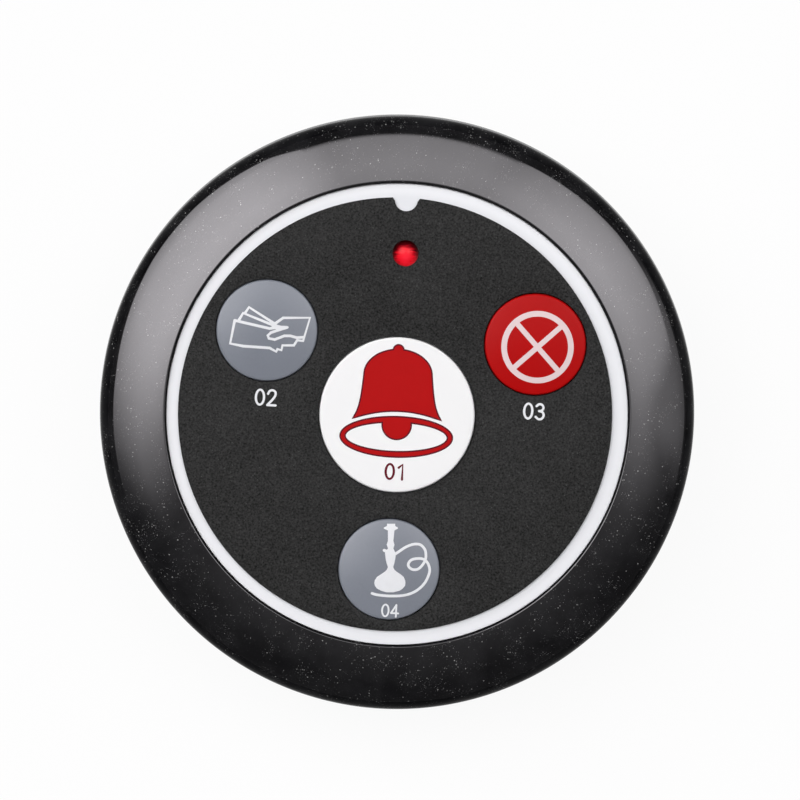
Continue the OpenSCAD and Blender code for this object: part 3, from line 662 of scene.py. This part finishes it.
# %% The red lamp
def lamp_plastic():
    """Clear red plastic: it glows where its cup lies below. A painted shadow of the film's window
    darkens it towards its rim, most on the side away from the cup.
    """
    material, tree, shader = new_finish(
        "lamp plastic", Coat_Weight=0.08, Coat_Roughness=0.2, Roughness=0.35, Specular_IOR_Level=0.2,
        Emission_Strength=0.42,
    )
    from_cup = add_node(
        tree, "ShaderNodeVectorMath", {"operation": "SUBTRACT"},
        i0=place_in_mm(tree), i1=(LAMP_AT[0] + 0.02, LAMP_AT[1] - 0.42, 0.0),
    ).outputs[0]
    far = reach_sideways(tree, from_cup)
    # painted shadow: the film window's edge shades the lamp towards its rim, its border broken up by
    # stretched noise
    streaks = noise(tree, times(tree, place_in_mm(tree), (1.3, 6.0, 1.0)), 1.0, Detail=3.0)
    edge = calc(tree, "ADD", far, calc(tree, "MULTIPLY", calc(tree, "SUBTRACT", streaks, 0.5), 0.9))
    dark = remap(tree, edge, 0.62, 1.42, smooth=True)
    warm = remap(tree, edge, 0.0, 0.8, smooth=True)
    glow = mixed(tree, warm, (1.0, 0.03, 0.06), (0.75, 0.002, 0.012))
    base = mixed(tree, dark, (0.7, 0.008, 0.02), (0.09, 0.0, 0.003))
    tree.links.new(base, shader.inputs["Base Color"])
    tree.links.new(mixed(tree, dark, glow, (0.015, 0.0, 0.0)), shader.inputs["Emission Color"])
    return material


FINISHES["lamp_red"] = lamp_plastic()
print("lamp plastic ready")

# %% Put each finish on its nodes
for part in frame["record"]["subparts"]:
    if part["material_slot"] in FINISHES:
        node = frame["nodes"][part["node"]]
        node.data.materials.clear()
        node.data.materials.append(FINISHES[part["material_slot"]])

# %% [markdown]
# ## The face plate
# A white moulding whose edge shows as the ring round the film. Its outer edge is broken a little,
# as a mould leaves it, so it is made again here with that rounding. Below it are a rim, a flange
# with bites for the case's bosses, three ears, three board posts and four pegs, which are hidden
# in use but are there for anyone who lifts the bezel off.

# %% Make the face plate
Z_DECK = Z_FACE - 1.6
GUIDE_GAP, FILM_GAP, STOP_W = 0.12, 0.1, 0.9
PEG_ANGLES = {"call": 210, "bill": 240, "cancel": 120, "pipe": 0}


def bitten_circle(radius, bites, centre=(0.0, 0.0)):
    """A round loop with round bites in it. A bite is (angle, distance, radius)."""
    loop = []
    for turn in range(360):
        reach = radius
        for angle, away, bite in bites:
            a = math.radians(turn - angle)
            inside = bite ** 2 - (away * math.sin(a)) ** 2
            if inside > 0 and math.cos(a) > 0:
                reach = min(reach, away * math.cos(a) - math.sqrt(inside))
        loop.append(at_angle(reach, turn, centre))
    return loop


def rounded_top(low, high, radius, steps):
    """The profile of a flat sheet with a rounded upper edge, as (inset, height)."""
    return [(0, low)] + arc((radius, high - radius), radius, 180, 90, steps)


SEAT_GAP = 0.15
BOSS_BITES = [(a, BOSS_CIRCLE_R, BOSS_R + SEAT_GAP) for a in BOSS_ANGLES]
BOSS_BITES += [(a, EAR_CIRCLE_R, EAR_BOSS_R + SEAT_GAP) for a in EAR_ANGLES]
RIM_INNER_R, FLANGE_R, Z_FLANGE = 21.9, 26.25, 12.9
EAR_R, EAR_HOLE_R, Z_EAR = 2.6, 1.05, 11.0
POST_ANGLES, POST_CIRCLE_R, POST_R, Z_BOARD_TOP = (60, 180, 300), 20.5, 1.8, 8.4
PEG_R, Z_PEG_END = 0.5, 12.7
LAMP_HOLE_R = 1.58
INTO_DECK = Z_DECK + 0.2

key_holes = [circle(KEY_PLACES[k], CAP_RADII[k] + GUIDE_GAP) for k in KEY_PLACES]
bm = bmesh.new()
rim_outer = bitten_circle(DECK_R - 0.02, BOSS_BITES)
sheet_of(bm, rim_outer, [circle((0, 0), RIM_INNER_R, 360)], [(0, Z_EAR), (0, INTO_DECK)])
flange = bitten_circle(FLANGE_R, BOSS_BITES)
flange_hole = circle((0, 0), RIM_INNER_R + 0.05, 360)
sheet_of(bm, flange, [flange_hole], [(0, Z_FLANGE), (0, Z_BEZEL_UNDER)])
for angle in EAR_ANGLES:
    tube(bm, at_angle(EAR_CIRCLE_R, angle), EAR_HOLE_R, EAR_R, Z_EAR, Z_EAR_TOP, 48)
for angle in POST_ANGLES:
    tube(bm, at_angle(POST_CIRCLE_R, angle), SMALL_PILOT_R, POST_R, Z_BOARD_TOP, INTO_DECK, 40)
for key, angle in PEG_ANGLES.items():
    place = at_angle(CAP_RADII[key] + STOP_W, angle, KEY_PLACES[key])
    tube(bm, place, 0, PEG_R, Z_PEG_END, INTO_DECK, 24)
hidden = piece("face_plate_underside", bm)

bm = bmesh.new()
sheet_of(bm, circle((0, 0), DECK_R, 360), [], rounded_top(Z_DECK, Z_FACE, 0.1, 5))
deck = piece("face_plate", bm, sharp=25)
bm = bmesh.new()
for loop in key_holes + [circle(LAMP_AT, LAMP_HOLE_R, 64)]:
    sheet_of(bm, loop, [], [(0, Z_DECK - 0.5), (0, Z_FACE + 0.5)])
punch = piece("hole_punch", bm)
cut = deck.modifiers.new("holes", "BOOLEAN")
cut.object, cut.operation, cut.solver = punch, "DIFFERENCE", "EXACT"
bpy.context.view_layer.update()
cut_deck = deck.evaluated_get(bpy.context.evaluated_depsgraph_get())
cut_mesh = bpy.data.meshes.new_from_object(cut_deck)
deck.modifiers.clear()
deck.data = cut_mesh
smoothed(cut_mesh, 25)
bpy.data.objects.remove(punch)
for part in (deck, hidden):
    part.data.materials.clear()
    part.data.materials.append(FINISHES["face_white"])
    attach(part, "case")
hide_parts("carrier_plate")
print("deck faces:", len(deck.data.polygons))

# %% [markdown]
# ## The film
# A thin printed film is stuck on the face plate, with a notch towards the lamp. In the photograph
# its outline lies a fifth of a millimetre off centre, so it is cut that way here, while the CAD's
# is central. It is one flat outline with five holes, cut closer round the keys than the CAD's
# (0.1 mm for 0.2 mm), and its upper edges are broken a little, as a die leaves them.

# %% Cut the film
FILM_OFF = -0.2
NOTCH_HALF_W, NOTCH_R, NOTCH_SINK, WINDOW_R = 1.35, 1.15, 0.2, 1.3
corner = math.degrees(math.asin(NOTCH_HALF_W / FILM_R))
outline = arc((0, 0), FILM_R, 90 + corner, 450 - corner, 352)
outline += arc((0, FILM_R - NOTCH_SINK), NOTCH_R, -8, -172, 26)
outline = [(x + FILM_OFF, y) for x, y in outline]
film_holes = [circle(KEY_PLACES[k], CAP_RADII[k] + FILM_GAP, 160) for k in KEY_PLACES]
film_holes.append(circle(LAMP_AT, WINDOW_R, 72))
bm = bmesh.new()
sheet_of(bm, outline, film_holes, rounded_top(Z_FACE, Z_FILM_TOP, 0.05, 3))
film = piece("film_sheet", bm)
film.data.materials.append(FINISHES["film_dark"])
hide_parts("face_film")
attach(film, "case")

# %% [markdown]
# ## The key caps
# Four round caps, each a little domed on top with a small rounded edge, a skirt, a flange that
# stops it under the face plate and a stem that presses the switch. The CAD's caps are flat on
# top. The dome is what makes the satin grey caps lighter on the side of the big light.

# %% Turn the caps
CROWNS = {"call": 0.1, "bill": 0.38, "cancel": 0.38, "pipe": 0.38}
CAP_SLOTS = {"call": "cap_white", "bill": "cap_grey", "cancel": "cap_red", "pipe": "cap_grey"}
CAP_EDGE_R = 0.2
SKIRT_T, STEM_R = 1.1, 1.6
Z_STOP, Z_STOP_TOP, Z_SKIRT, Z_CAP_INSIDE, Z_STEM_END = 13.25, 14.05, 13.6, 15.2, 12.7


def cap_height(key, x, y):
    """How high the cap's domed top is above a place, given from the cap's middle."""
    return Z_CAP_TOP - CROWNS[key] * (x * x + y * y) / CAP_RADII[key] ** 2


def make_cap(key):
    """Turns one cap, with its flange and stem, and puts it in its CAD node's place."""
    radius, place = CAP_RADII[key], KEY_PLACES[key]
    edge = radius - CAP_EDGE_R
    tilt = math.atan(2 * CROWNS[key] * edge / radius ** 2)
    reach = edge + CAP_EDGE_R * math.sin(tilt)
    dome = [(reach * k / 24, cap_height(key, reach * k / 24, 0)) for k in range(25)]
    centre = (edge, dome[-1][1] - CAP_EDGE_R * math.cos(tilt))
    rounding = arc(centre, CAP_EDGE_R, 90 - math.degrees(tilt), 0, 8)[1:]
    below = [
        (radius, Z_SKIRT), (radius - SKIRT_T, Z_SKIRT), (radius - SKIRT_T, Z_CAP_INSIDE),
        (STEM_R, Z_CAP_INSIDE), (STEM_R, Z_STEM_END), (0, Z_STEM_END),
    ]
    bm = bmesh.new()
    turned(bm, dome + rounding + below, place)
    peg_bite = (PEG_ANGLES[key], radius + STOP_W, PEG_R + GUIDE_GAP)
    stop = bitten_circle(radius + STOP_W, [peg_bite], place)
    sheet_of(bm, stop, [circle(place, radius - SKIRT_T)], [(0, Z_STOP), (0, Z_STOP_TOP)])
    cap = piece(f"{key}_cap", bm)
    cap.data.materials.append(FINISHES[CAP_SLOTS[key]])
    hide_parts(f"{key}_button")
    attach(cap, f"{key}_key")


for key in KEY_PLACES:
    make_cap(key)

# %% [markdown]
# ## The lamp and the snap domes
# The lamp is a 3 mm light-emitting diode: a collar, a round body and a half-ball tip. The snap
# domes under the keys are thin steel shells.

# %% Turn the lamp and the domes
LAMP_R, COLLAR_R, COLLAR_H, TIP_UP = 1.5, 1.9, 1, 3.8
z_lamp = bottom_of("indicator_led")
z_collar = z_lamp + COLLAR_H
collar = [(0, z_lamp), (COLLAR_R, z_lamp), (COLLAR_R, z_collar), (LAMP_R, z_collar)]
bm = bmesh.new()
turned(bm, collar + arc((0, z_lamp + TIP_UP), LAMP_R, 0, 90, 24), LAMP_AT, 96)
lamp = piece("lamp_body", bm)
lamp.data.materials.append(FINISHES["lamp_red"])
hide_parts("indicator_led")
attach(lamp, "case")

Z_DOME, DOME_H, DOME_RIM, DOME_T = 9.9, 0.6, 2.1, 0.1
ball = (DOME_RIM ** 2 + DOME_H ** 2) / (2 * DOME_H)
middle = (0, Z_DOME + DOME_H - ball)
for key, place in KEY_PLACES.items():
    low_out = math.degrees(math.asin((ball - DOME_H) / ball))
    low_in = math.degrees(math.asin((ball - DOME_H) / (ball - DOME_T)))
    shell = arc(middle, ball, low_out, 90, 16) + arc(middle, ball - DOME_T, 90, low_in, 16)
    bm = bmesh.new()
    turned(bm, shell, place, 64)
    dome = piece(f"{key}_snap_dome", bm)
    dome.data.materials.append(FINISHES["spring_steel"])
    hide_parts(f"{key}_switch_dome")
    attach(dome, "case")
    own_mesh(dome)
print("domes:", len(KEY_PLACES))

# %% [markdown]
# ## The printing on the keys
# The keys carry printed pictograms. On a real key the ink is a few hundredths of a millimetre
# thick, and drawing it as thin solid shapes keeps its edges sharp at any distance, which a
# painted texture wouldn't. Outlines are drawn about the middle of each key, in millimetres,
# with +Y towards the lamp. Shapes that overlap lie a thousandth of a millimetre apart. The
# finished sheet is cut along a half-millimetre grid, so that it can bend over the domed key.

# %% Ink helpers
INK_T = 0.012


def turned_by(points, degrees, about=(0.0, 0.0)):
    """Points turned anticlockwise about a place."""
    c, s = math.cos(math.radians(degrees)), math.sin(math.radians(degrees))
    x0, y0 = about
    return [
        (x0 + (x - x0) * c - (y - y0) * s, y0 + (x - x0) * s + (y - y0) * c)
        for x, y in points
    ]


def softened(points, steps):
    """A smooth line through the points (a Catmull-Rom spline)."""
    pts = [Vector(p) for p in points]
    pts = [2 * pts[0] - pts[1]] + pts + [2 * pts[-1] - pts[-2]]
    line = []
    for a, b, c, d in zip(pts, pts[1:], pts[2:], pts[3:]):
        for k in range(steps):
            t = k / steps
            line.append(tuple(0.5 * (
                2 * b + (c - a) * t + (2 * a - 5 * b + 4 * c - d) * t * t
                + (3 * b - a - 3 * c + d) * t ** 3
            )))
    return line + [tuple(pts[-2])]


def stroke(points, width):
    """The outline of a pen stroke with round ends, anticlockwise."""
    pts = [Vector(p) for p in points]
    ways = [(b - a).normalized() for a, b in zip(pts, pts[1:])]
    ways = [ways[0]] + [(a + b).normalized() for a, b in zip(ways, ways[1:])] + [ways[-1]]
    half = width / 2
    right = [p + Vector((w.y, -w.x)) * half for p, w in zip(pts, ways)]
    left = [p - Vector((w.y, -w.x)) * half for p, w in zip(pts, ways)]

    def cap(centre, way, sign):
        start = math.degrees(math.atan2(-way.x * sign, way.y * sign))
        return [Vector(p) for p in arc(centre, half, start, start + 180, 8)[1:-1]]

    loop = right + cap(pts[-1], ways[-1], 1) + left[::-1] + cap(pts[0], ways[0], -1)
    return [tuple(p) for p in loop]


def area_of(loop):
    """A loop's area, which is negative if it runs clockwise."""
    return sum(x0 * y1 - x1 * y0 for (x0, y0), (x1, y1) in zip(loop, loop[1:] + loop[:1])) / 2


def wider(shape, margin):
    """A shape grown by a margin all round."""
    outer, holes = shape
    return (moved_in(outer, -margin), [moved_in(hole, margin) for hole in holes])


def printed(name, shapes, key, body, finish, thickness=INK_T, centre=None):
    """Thin solid ink shapes on a key's domed top, or on the film where the key is None.
    A shape is (outline, holes), drawn about the centre."""
    place = centre or KEY_PLACES[key]
    bm = bmesh.new()
    for k, (outer, holes) in enumerate(shapes):
        top = thickness - 0.001 * (k % 4)
        sheet_of(bm, outer, holes, [(0, -0.01), (0, top - 0.003), (0.003, top)])
    if key:
        for cut in [0.5 * k for k in range(-13, 14)]:
            for normal in ((1, 0, 0), (0, 1, 0)):
                everything = bm.verts[:] + bm.edges[:] + bm.faces[:]
                bmesh.ops.bisect_plane(
                    bm, geom=everything, plane_co=(cut, cut, 0), plane_no=normal, dist=1e-5
                )
    for vertex in bm.verts:
        x, y, z = vertex.co
        under = cap_height(key, x, y) if key else Z_FILM_TOP
        vertex.co = (x + place[0], y + place[1], under + z)
    ink = piece(name, bm)
    ink.data.materials.append(finish)
    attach(ink, body)


def each_loop(shapes, change):
    """The same shapes, with a change made to every loop."""
    return [(change(outer), [change(hole) for hole in holes]) for outer, holes in shapes]


def loops_anticlockwise(shapes):
    """The same shapes, with every loop running anticlockwise."""
    def right_way(loop):
        loop = [tuple(p) for p in loop]
        return loop if area_of(loop) > 0 else loop[::-1]
    return each_loop(shapes, right_way)


def ink_finish(name, colour):
    """Screen ink: nearly matte, laid down a little unevenly."""
    material, tree, shader = new_finish(name, Specular_IOR_Level=0.12)
    skin = use_effect(tree, GRAIN, Blotch_size=0.8, Grain_size=0.12, Depth=0.12)
    base = shaded(tree, colour, skin["Shade"])
    surfaced(tree, shader, base, skin["Fine"], 0.5, 0.65, skin["Height"], 0.003)
    return material


INK_RED = ink_finish("red ink", (0.48, 0.0015, 0.002))
INK_DEEP = ink_finish("deep red ink", (0.13, 0.003, 0.012))
INK_WHITE = ink_finish("white ink", (0.85, 0.86, 0.88))
INK_PINK = ink_finish("white ink on red", (0.84, 0.67, 0.67))
print("inks ready")

# %% [markdown]
# ## The bell on the call key
# A service bell: a small knob, a bell body whose sides flare out over a hollow foot, the plate
# seen as a thin ellipse, and the clapper below it. The body is one outline made of an elliptic
# shoulder, a Bezier side and a shallow arc underneath, mirrored left to right. The red is laid
# over a slightly wider deep red, which leaves the thin dark edge that such prints have.

# %% Print the bell
def bezier(a, b, c, d):
    """Points on a cubic Bezier curve."""
    line = []
    for k in range(17):
        t = k / 16
        u = 1 - t
        line.append(tuple(
            u ** 3 * a[i] + 3 * u * u * t * b[i] + 3 * u * t * t * c[i] + t ** 3 * d[i] for i in (0, 1)
        ))
    return line


def ellipse(centre, half_w, half_h, start=0, end=360, steps=96):
    """Points round an ellipse, or along a part of it."""
    count = steps + (end - start != 360)
    turn = [math.radians(start + (end - start) * k / steps) for k in range(count)]
    return [(centre[0] + half_w * math.cos(a), centre[1] + half_h * math.sin(a)) for a in turn]


def bell_body():
    """The bell's outline, drawn on the right and mirrored to the left."""
    side = bezier((4.40, -0.43), (3.65, 0.6), (3.55, 2.2), (3.38, 4.0))
    shoulder = ellipse((0, 4.0), 3.38, 2.53, 0, 80, 16)[1:]
    knob = ellipse((0, 6.5), 0.5, 0.5, 0, 90, 6)[:-1]
    right = side + shoulder + knob
    top = [(0, 7.0)]
    left = [(-x, y) for x, y in reversed(right)]
    hollow = [(x, 0.40 - 0.83 * (x / 4.40) ** 2) for x in [4.40 * (k / 8 - 1) for k in range(1, 16)]]
    return right + top + left + hollow


clapper = [(-1.43, -0.5), *arc((0, -1.0), 1.43, 180, 360, 32), (1.43, -0.5)]
bell = [
    (bell_body(), []),
    (ellipse((-0.015, -2.19), 5.59, 2.005), [ellipse((-0.015, -2.19), 5.13, 1.495)]),
    (clapper, []),
]
BELL_TURN, BELL_MIDDLE = 1.5, (0.02, -0.43)
bell = each_loop(bell, lambda loop: turned_by(loop, BELL_TURN, BELL_MIDDLE))
bell = loops_anticlockwise(bell)
rim, inside = [wider(s, 0.1) for s in bell], [wider(s, -0.06) for s in bell]
printed("bell_outline_print", rim, "call", "call_key", INK_DEEP, 0.007)
printed("bell_print", inside, "call", "call_key", INK_RED)

# %% [markdown]
# ## The crossed circle on the cancel key
# A ring and two bars. The bars run a little into the ring, so no gap shows where they meet.

# %% Print the crossed circle
ring_at = (0.22, -0.25)
bars = [[at_angle(3.3, a, ring_at), at_angle(-3.3, a, ring_at)] for a in (44, 134)]
crossed = [(circle(ring_at, 3.62), [circle(ring_at, 3.05)])]
crossed = loops_anticlockwise(crossed + [(stroke(bar, 0.52), []) for bar in bars])
printed("crossed_circle_print", crossed, "cancel", "cancel_key", INK_PINK)

# %% [markdown]
# ## The hand with bank notes on the bill key
# A line drawing: three notes fanned out, held between a thumb and the fingers. Each line is a
# pen stroke with round ends, so the drawing is a list of short lines.

# %% Print the notes
def from_sheet(points, scale, middle):
    """Points of a drawing sheet, whose Y runs down, as millimetres on a key."""
    return turned_by([((x - middle[0]) / scale, (middle[1] - y) / scale) for x, y in points], 3)


NOTE_LINES = [
    [(325, 625), (262, 940), (440, 975), (800, 1000), (890, 1050), (905, 1015), (960, 1030),
     (975, 965), (1130, 965), (1175, 895), (1255, 905), (1350, 590), (985, 590), (880, 665)],
    [(325, 625), (800, 735), (900, 720)],
    [(385, 615), (440, 525), (850, 690)],
    [(470, 520), (520, 445), (870, 670)],
    [(870, 695), (950, 715), (1040, 720)],
    [(1040, 720), (940, 750), (820, 790), (775, 830), (790, 870), (870, 885), (1000, 835),
     (1080, 835), (1170, 860), (1255, 855)],
]
WEDGE = [(840, 668), (885, 672), (935, 705), (1045, 716), (900, 750), (820, 728)]
NOTE_SCALE, NOTE_MIDDLE = 136.35, (762, 762)
notes = [(stroke(from_sheet(line, NOTE_SCALE, NOTE_MIDDLE), 0.28), []) for line in NOTE_LINES]
notes = loops_anticlockwise(notes + [(from_sheet(WEDGE, NOTE_SCALE, NOTE_MIDDLE), [])])
printed("notes_print", notes, "bill", "bill_key", INK_WHITE)

# %% [markdown]
# ## The water pipe on the pipe key
# The pipe stands upright and is nearly a turned shape, so it is drawn as one outline of left and
# right edges, read down the sheet. The hose is a smooth pen stroke through a few points.

# %% Print the pipe
PIPE_EDGES = [
    (265, 728, 820), (290, 728, 820), (308, 692, 850), (320, 692, 850), (340, 738, 812),
    (400, 738, 805), (455, 738, 800), (500, 724, 812), (540, 740, 800), (575, 705, 815),
    (600, 706, 828), (650, 712, 822), (700, 722, 812), (750, 738, 798), (780, 725, 812),
    (800, 705, 835), (830, 660, 880), (860, 615, 915), (900, 590, 932), (930, 585, 935),
    (960, 592, 930), (990, 615, 905), (1015, 660, 870), (1033, 720, 800),
]
HOSE = [
    (825, 600), (870, 570), (930, 530), (1000, 500), (1060, 492), (1110, 505), (1150, 550),
    (1163, 600), (1160, 660), (1130, 720), (1080, 770), (1020, 778), (975, 750), (968, 710),
    (1000, 670), (1060, 655), (1130, 660), (1180, 700), (1205, 770), (1195, 840), (1150, 930),
    (1080, 1000), (1000, 1045), (900, 1070), (760, 1075), (620, 1062), (560, 1045),
]
VALVE = [(697, 562), (760, 585)]
PIPE_SCALE, PIPE_MIDDLE = 112, (750, 778)
body_line = [(left, y) for y, left, right in PIPE_EDGES]
body_line += [(right, y) for y, left, right in reversed(PIPE_EDGES)]
hose = from_sheet(softened(HOSE, 4), PIPE_SCALE, PIPE_MIDDLE)
hose_parts = (hose[:30], hose[29:58], hose[57:])
pipe = [(from_sheet(body_line, PIPE_SCALE, PIPE_MIDDLE), [])]
pipe += [(stroke(part, 0.27), []) for part in hose_parts]
pipe += [(stroke(from_sheet(VALVE, PIPE_SCALE, PIPE_MIDDLE), 0.3), [])]
printed("pipe_print", loops_anticlockwise(pipe), "pipe", "pipe_key", INK_WHITE)

# %% [markdown]
# ## Plain numerals
# Each key has a two-figure number, so that the receiver's list can name it. The figures are pen
# strokes too, one and a half millimetres high.

# %% Print the numerals
FIGURES = {
    "1": [[(-0.2, 0.28), (0.06, 0.5), (0.06, -0.5)]],
    "2": [[(-0.25, 0.25), (-0.16, 0.43), (0.03, 0.5), (0.22, 0.4), (0.24, 0.18), (0.08, -0.1),
           (-0.27, -0.5)],
          [(-0.27, -0.5), (0.28, -0.5)]],
    "3": [[(-0.24, 0.36), (-0.08, 0.49), (0.12, 0.46), (0.22, 0.27), (0.13, 0.09), (-0.06, 0.04)],
          [(-0.06, 0.04), (0.16, -0.02), (0.26, -0.24), (0.14, -0.46), (-0.08, -0.5), (-0.27, -0.36)]],
    "4": [[(0.12, -0.5), (0.12, 0.5)], [(0.12, 0.5), (-0.3, -0.2)], [(-0.3, -0.2), (0.3, -0.2)]],
}
STRAIGHT = "14"
FIGURE_STEP, PEN_SHARE = 0.78, 0.155


def numeral(text, centre, key, body, finish, height=1.5):
    """Two figures as thin strokes, their middle at the centre."""
    shapes = []
    for k, figure in enumerate(text):
        x0 = (k - 0.5) * FIGURE_STEP
        if figure == "0":
            shapes.append((
                ellipse((x0 * height, 0), 0.35 * height, 0.57 * height),
                [ellipse((x0 * height, 0), 0.19 * height, 0.42 * height)],
            ))
            continue
        for line in FIGURES[figure]:
            line = line if figure in STRAIGHT or len(line) < 3 else softened(line, 5)
            line = [((x + x0) * height, y * height) for x, y in line]
            shapes.append((stroke(line, PEN_SHARE * height), []))
    shapes = loops_anticlockwise(shapes)
    if key:
        shapes = each_loop(shapes, lambda loop: [(x + centre[0], y + centre[1]) for x, y in loop])
        printed(f"numeral_{text}_print", shapes, key, body, finish)
    else:
        printed(f"numeral_{text}_print", shapes, None, body, finish, centre=centre)


numeral("01", (0.15, -5.68), "call", "call_key", INK_DEEP)
numeral("02", (-13.19, 1.04), None, "case", INK_WHITE)
numeral("03", (13.66, 1.05), None, "case", INK_WHITE)
numeral("04", (0.32, -4.12), "pipe", "pipe_key", INK_WHITE, 1.2)
print("numerals printed")

# %% [markdown]
# ## The table and the studio
# The object stands on a plain pale table. Light comes from soft boxes overhead: a large one on
# the left, a smaller one on the right with a faint, lower one beside it, and a dim one between
# left and right, with a dark room in front. A glossy black bezel shows nothing but its
# surroundings, so where they stand decides how it looks. They are drawn in the world as
# soft-edged windows of the sky, by compass direction and by angle from straight up.

# %% The table
bm = bmesh.new()
turned(bm, [(0, 0), (3000, 0), (3000, -2), (0, -2)], steps=96)
table = piece("table_top", bm)
material = bpy.data.materials.new("pale table")
material.use_nodes = True
tree = material.node_tree
tree.nodes.clear()
soft = use_effect(tree, GRAIN, Blotch_size=40.0, Grain_size=6.0, Depth=0.01)
matt = add_node(tree, "ShaderNodeBsdfDiffuse", Color=shaded(tree, (0.9, 0.9, 0.9), soft["Shade"]))
glow = add_node(tree, "ShaderNodeEmission", Color=(1.0, 1.0, 1.0, 1.0), Strength=1.0)
ray = add_node(tree, "ShaderNodeLightPath")
seen = largest(tree, *[ray.outputs[f"Is {kind} Ray"] for kind in ("Camera", "Glossy", "Transmission")])
share = calc(tree, "MULTIPLY", seen, 0.93)
blend = add_node(tree, "ShaderNodeMixShader", i0=share, i1=matt.outputs[0], i2=glow.outputs[0])
add_node(tree, "ShaderNodeOutputMaterial", Surface=blend.outputs[0])
table.data.materials.append(material)
print("table top at", round(table.dimensions[0], 2), "m across")

# %% The studio light
world = bpy.data.worlds.new("studio")
bpy.context.scene.world = world
world.use_nodes = True
sky = world.node_tree
sky.nodes.clear()
direction = add_node(sky, "ShaderNodeTexCoord").outputs["Generated"]
way = add_node(sky, "ShaderNodeSeparateXYZ", i0=direction)
compass = calc(sky, "MULTIPLY", calc(sky, "ARCTAN2", way.outputs[0], way.outputs[1]), 180 / math.pi)
from_top = calc(sky, "MULTIPLY", calc(sky, "ARCCOSINE", way.outputs[2]), 180 / math.pi)


def soft_box(middle, half_width, side_blur, reach, end_blur, near, far, squeeze=0.0):
    """A soft window in the sky. The middle is degrees clockwise from the lamp's side, the reach
    is degrees from straight up, and the light goes from near at 24 degrees to far at 80. The
    squeeze draws both sides in by as many degrees."""
    off = calc(sky, "ADD", calc(sky, "ABSOLUTE", calc(sky, "SUBTRACT", compass, middle)), squeeze)
    across = remap(sky, off, half_width + side_blur, half_width - side_blur, smooth=True)
    past = calc(sky, "DIVIDE", calc(sky, "SUBTRACT", from_top, reach), end_blur)
    down = remap(sky, past, 1.0, -1.0, smooth=True)
    level = remap(sky, from_top, 24.0, 80.0, near, far)
    return calc(sky, "MULTIPLY", calc(sky, "MULTIPLY", across, down), level)


off_left = calc(sky, "ABSOLUTE", calc(sky, "ADD", compass, 56.0))
left_reach = calc(
    sky, "MINIMUM",
    remap(sky, off_left, 6.0, 32.0, 81.0, 56.0), remap(sky, compass, -36.0, -24.0, 80.0, 39.0),
)
left_squeeze = remap(sky, from_top, 30.0, 44.0, 0.0, 4.25)
left_middle = calc(sky, "SUBTRACT", left_squeeze, 59.5)
right_reach = calc(
    sky, "MINIMUM",
    remap(sky, compass, 24.0, 50.0, 39.0, 58.0), remap(sky, compass, 62.0, 88.0, 58.0, 34.0),
)
right_blur = remap(sky, compass, 60.0, 92.0, 2.0, 16.0)
# The columns are the middle, half width, side blur, reach, end blur, near and far level, squeeze.
boxes = [
    soft_box(left_middle, 41.0, 26.0, left_reach, 2.0, 3.64, 1.85, left_squeeze),
    soft_box(54.0, 36.0, 36.0, right_reach, right_blur, 2.9, 0.5),
    soft_box(80.0, 20.0, 8.0, 75.0, 2.0, 0.9, 0.34),
    soft_box(-3.0, 40.0, 20.0, 38.7, 1.0, 1.82, 1.0),
]
total = largest(sky, *boxes)
total = calc(sky, "MULTIPLY", total, remap(sky, from_top, 37.0, 43.0, 1.12, 1.0, smooth=True))
total = calc(sky, "MULTIPLY", total, remap(sky, from_top, 13.0, 21.0, 0.9, 1.0))
camera_hole = remap(sky, from_top, 8.0, 13.0, smooth=True)
room = remap(sky, from_top, 14.0, 40.0, 0.2, 0.05)
light = calc(sky, "ADD", calc(sky, "MULTIPLY", total, camera_hole), room)
below = remap(sky, way.outputs[2], 0.0, -0.02, 0.0, 0.83)
light = calc(sky, "MAXIMUM", light, below)
green, blue = calc(sky, "MULTIPLY", light, 0.99), calc(sky, "MULTIPLY", light, 1.005)
tint = add_node(sky, "ShaderNodeCombineColor", i0=light, i1=green, i2=blue)
studio = add_node(sky, "ShaderNodeBackground", Color=tint.outputs[0], Strength=1.0)
plain = add_node(sky, "ShaderNodeBackground", Color=(1.0, 1.0, 1.0, 1.0), Strength=1.0)
ray = add_node(sky, "ShaderNodeLightPath")
near_horizon = remap(sky, way.outputs[2], 0.04, 0.0, smooth=True)
backdrop = calc(sky, "MULTIPLY", ray.outputs["Is Glossy Ray"], near_horizon)
seen = largest(sky, ray.outputs["Is Camera Ray"], ray.outputs["Is Transmission Ray"], backdrop)
blend = add_node(sky, "ShaderNodeMixShader", i0=seen, i1=studio.outputs[0], i2=plain.outputs[0])
add_node(sky, "ShaderNodeOutputWorld", Surface=blend.outputs[0])
print("soft boxes:", len(boxes))

# %% [markdown]
# ## The camera
# The photograph looks nearly straight down, with the object turned 3 degrees clockwise in the
# frame. How far off its camera stood can't be told, so the 0.6 m are a guess. A small tilt shows
# a little more of the near side, and a small lens shift puts the case where it is in the frame.

# %% Set the camera
roll, tilt, distance = math.radians(3.0), math.radians(2.7), 0.6
up = Vector((-math.sin(roll), math.cos(roll), 0))
aim = Vector((0, 0, 0.009))
camera_at = aim + distance * (up * math.sin(tilt) + Vector((0, 0, 1)) * math.cos(tilt))
back = (camera_at - aim).normalized()
right = up.cross(back).normalized()
true_up = back.cross(right)
camera_data = bpy.data.cameras.new("camera")
camera_data.lens, camera_data.sensor_width = 267.0, 36.0
camera_data.shift_x, camera_data.shift_y = 0.00366, 0.0143
camera = bpy.data.objects.new("camera", camera_data)
bpy.context.scene.collection.objects.link(camera)
turn = Matrix((right, true_up, back)).transposed()
camera.matrix_world = Matrix.Translation(camera_at) @ turn.to_4x4()
bpy.context.scene.camera = camera
bpy.context.scene.view_settings.view_transform = "Standard"
print("camera at", [round(v, 3) for v in camera_at])
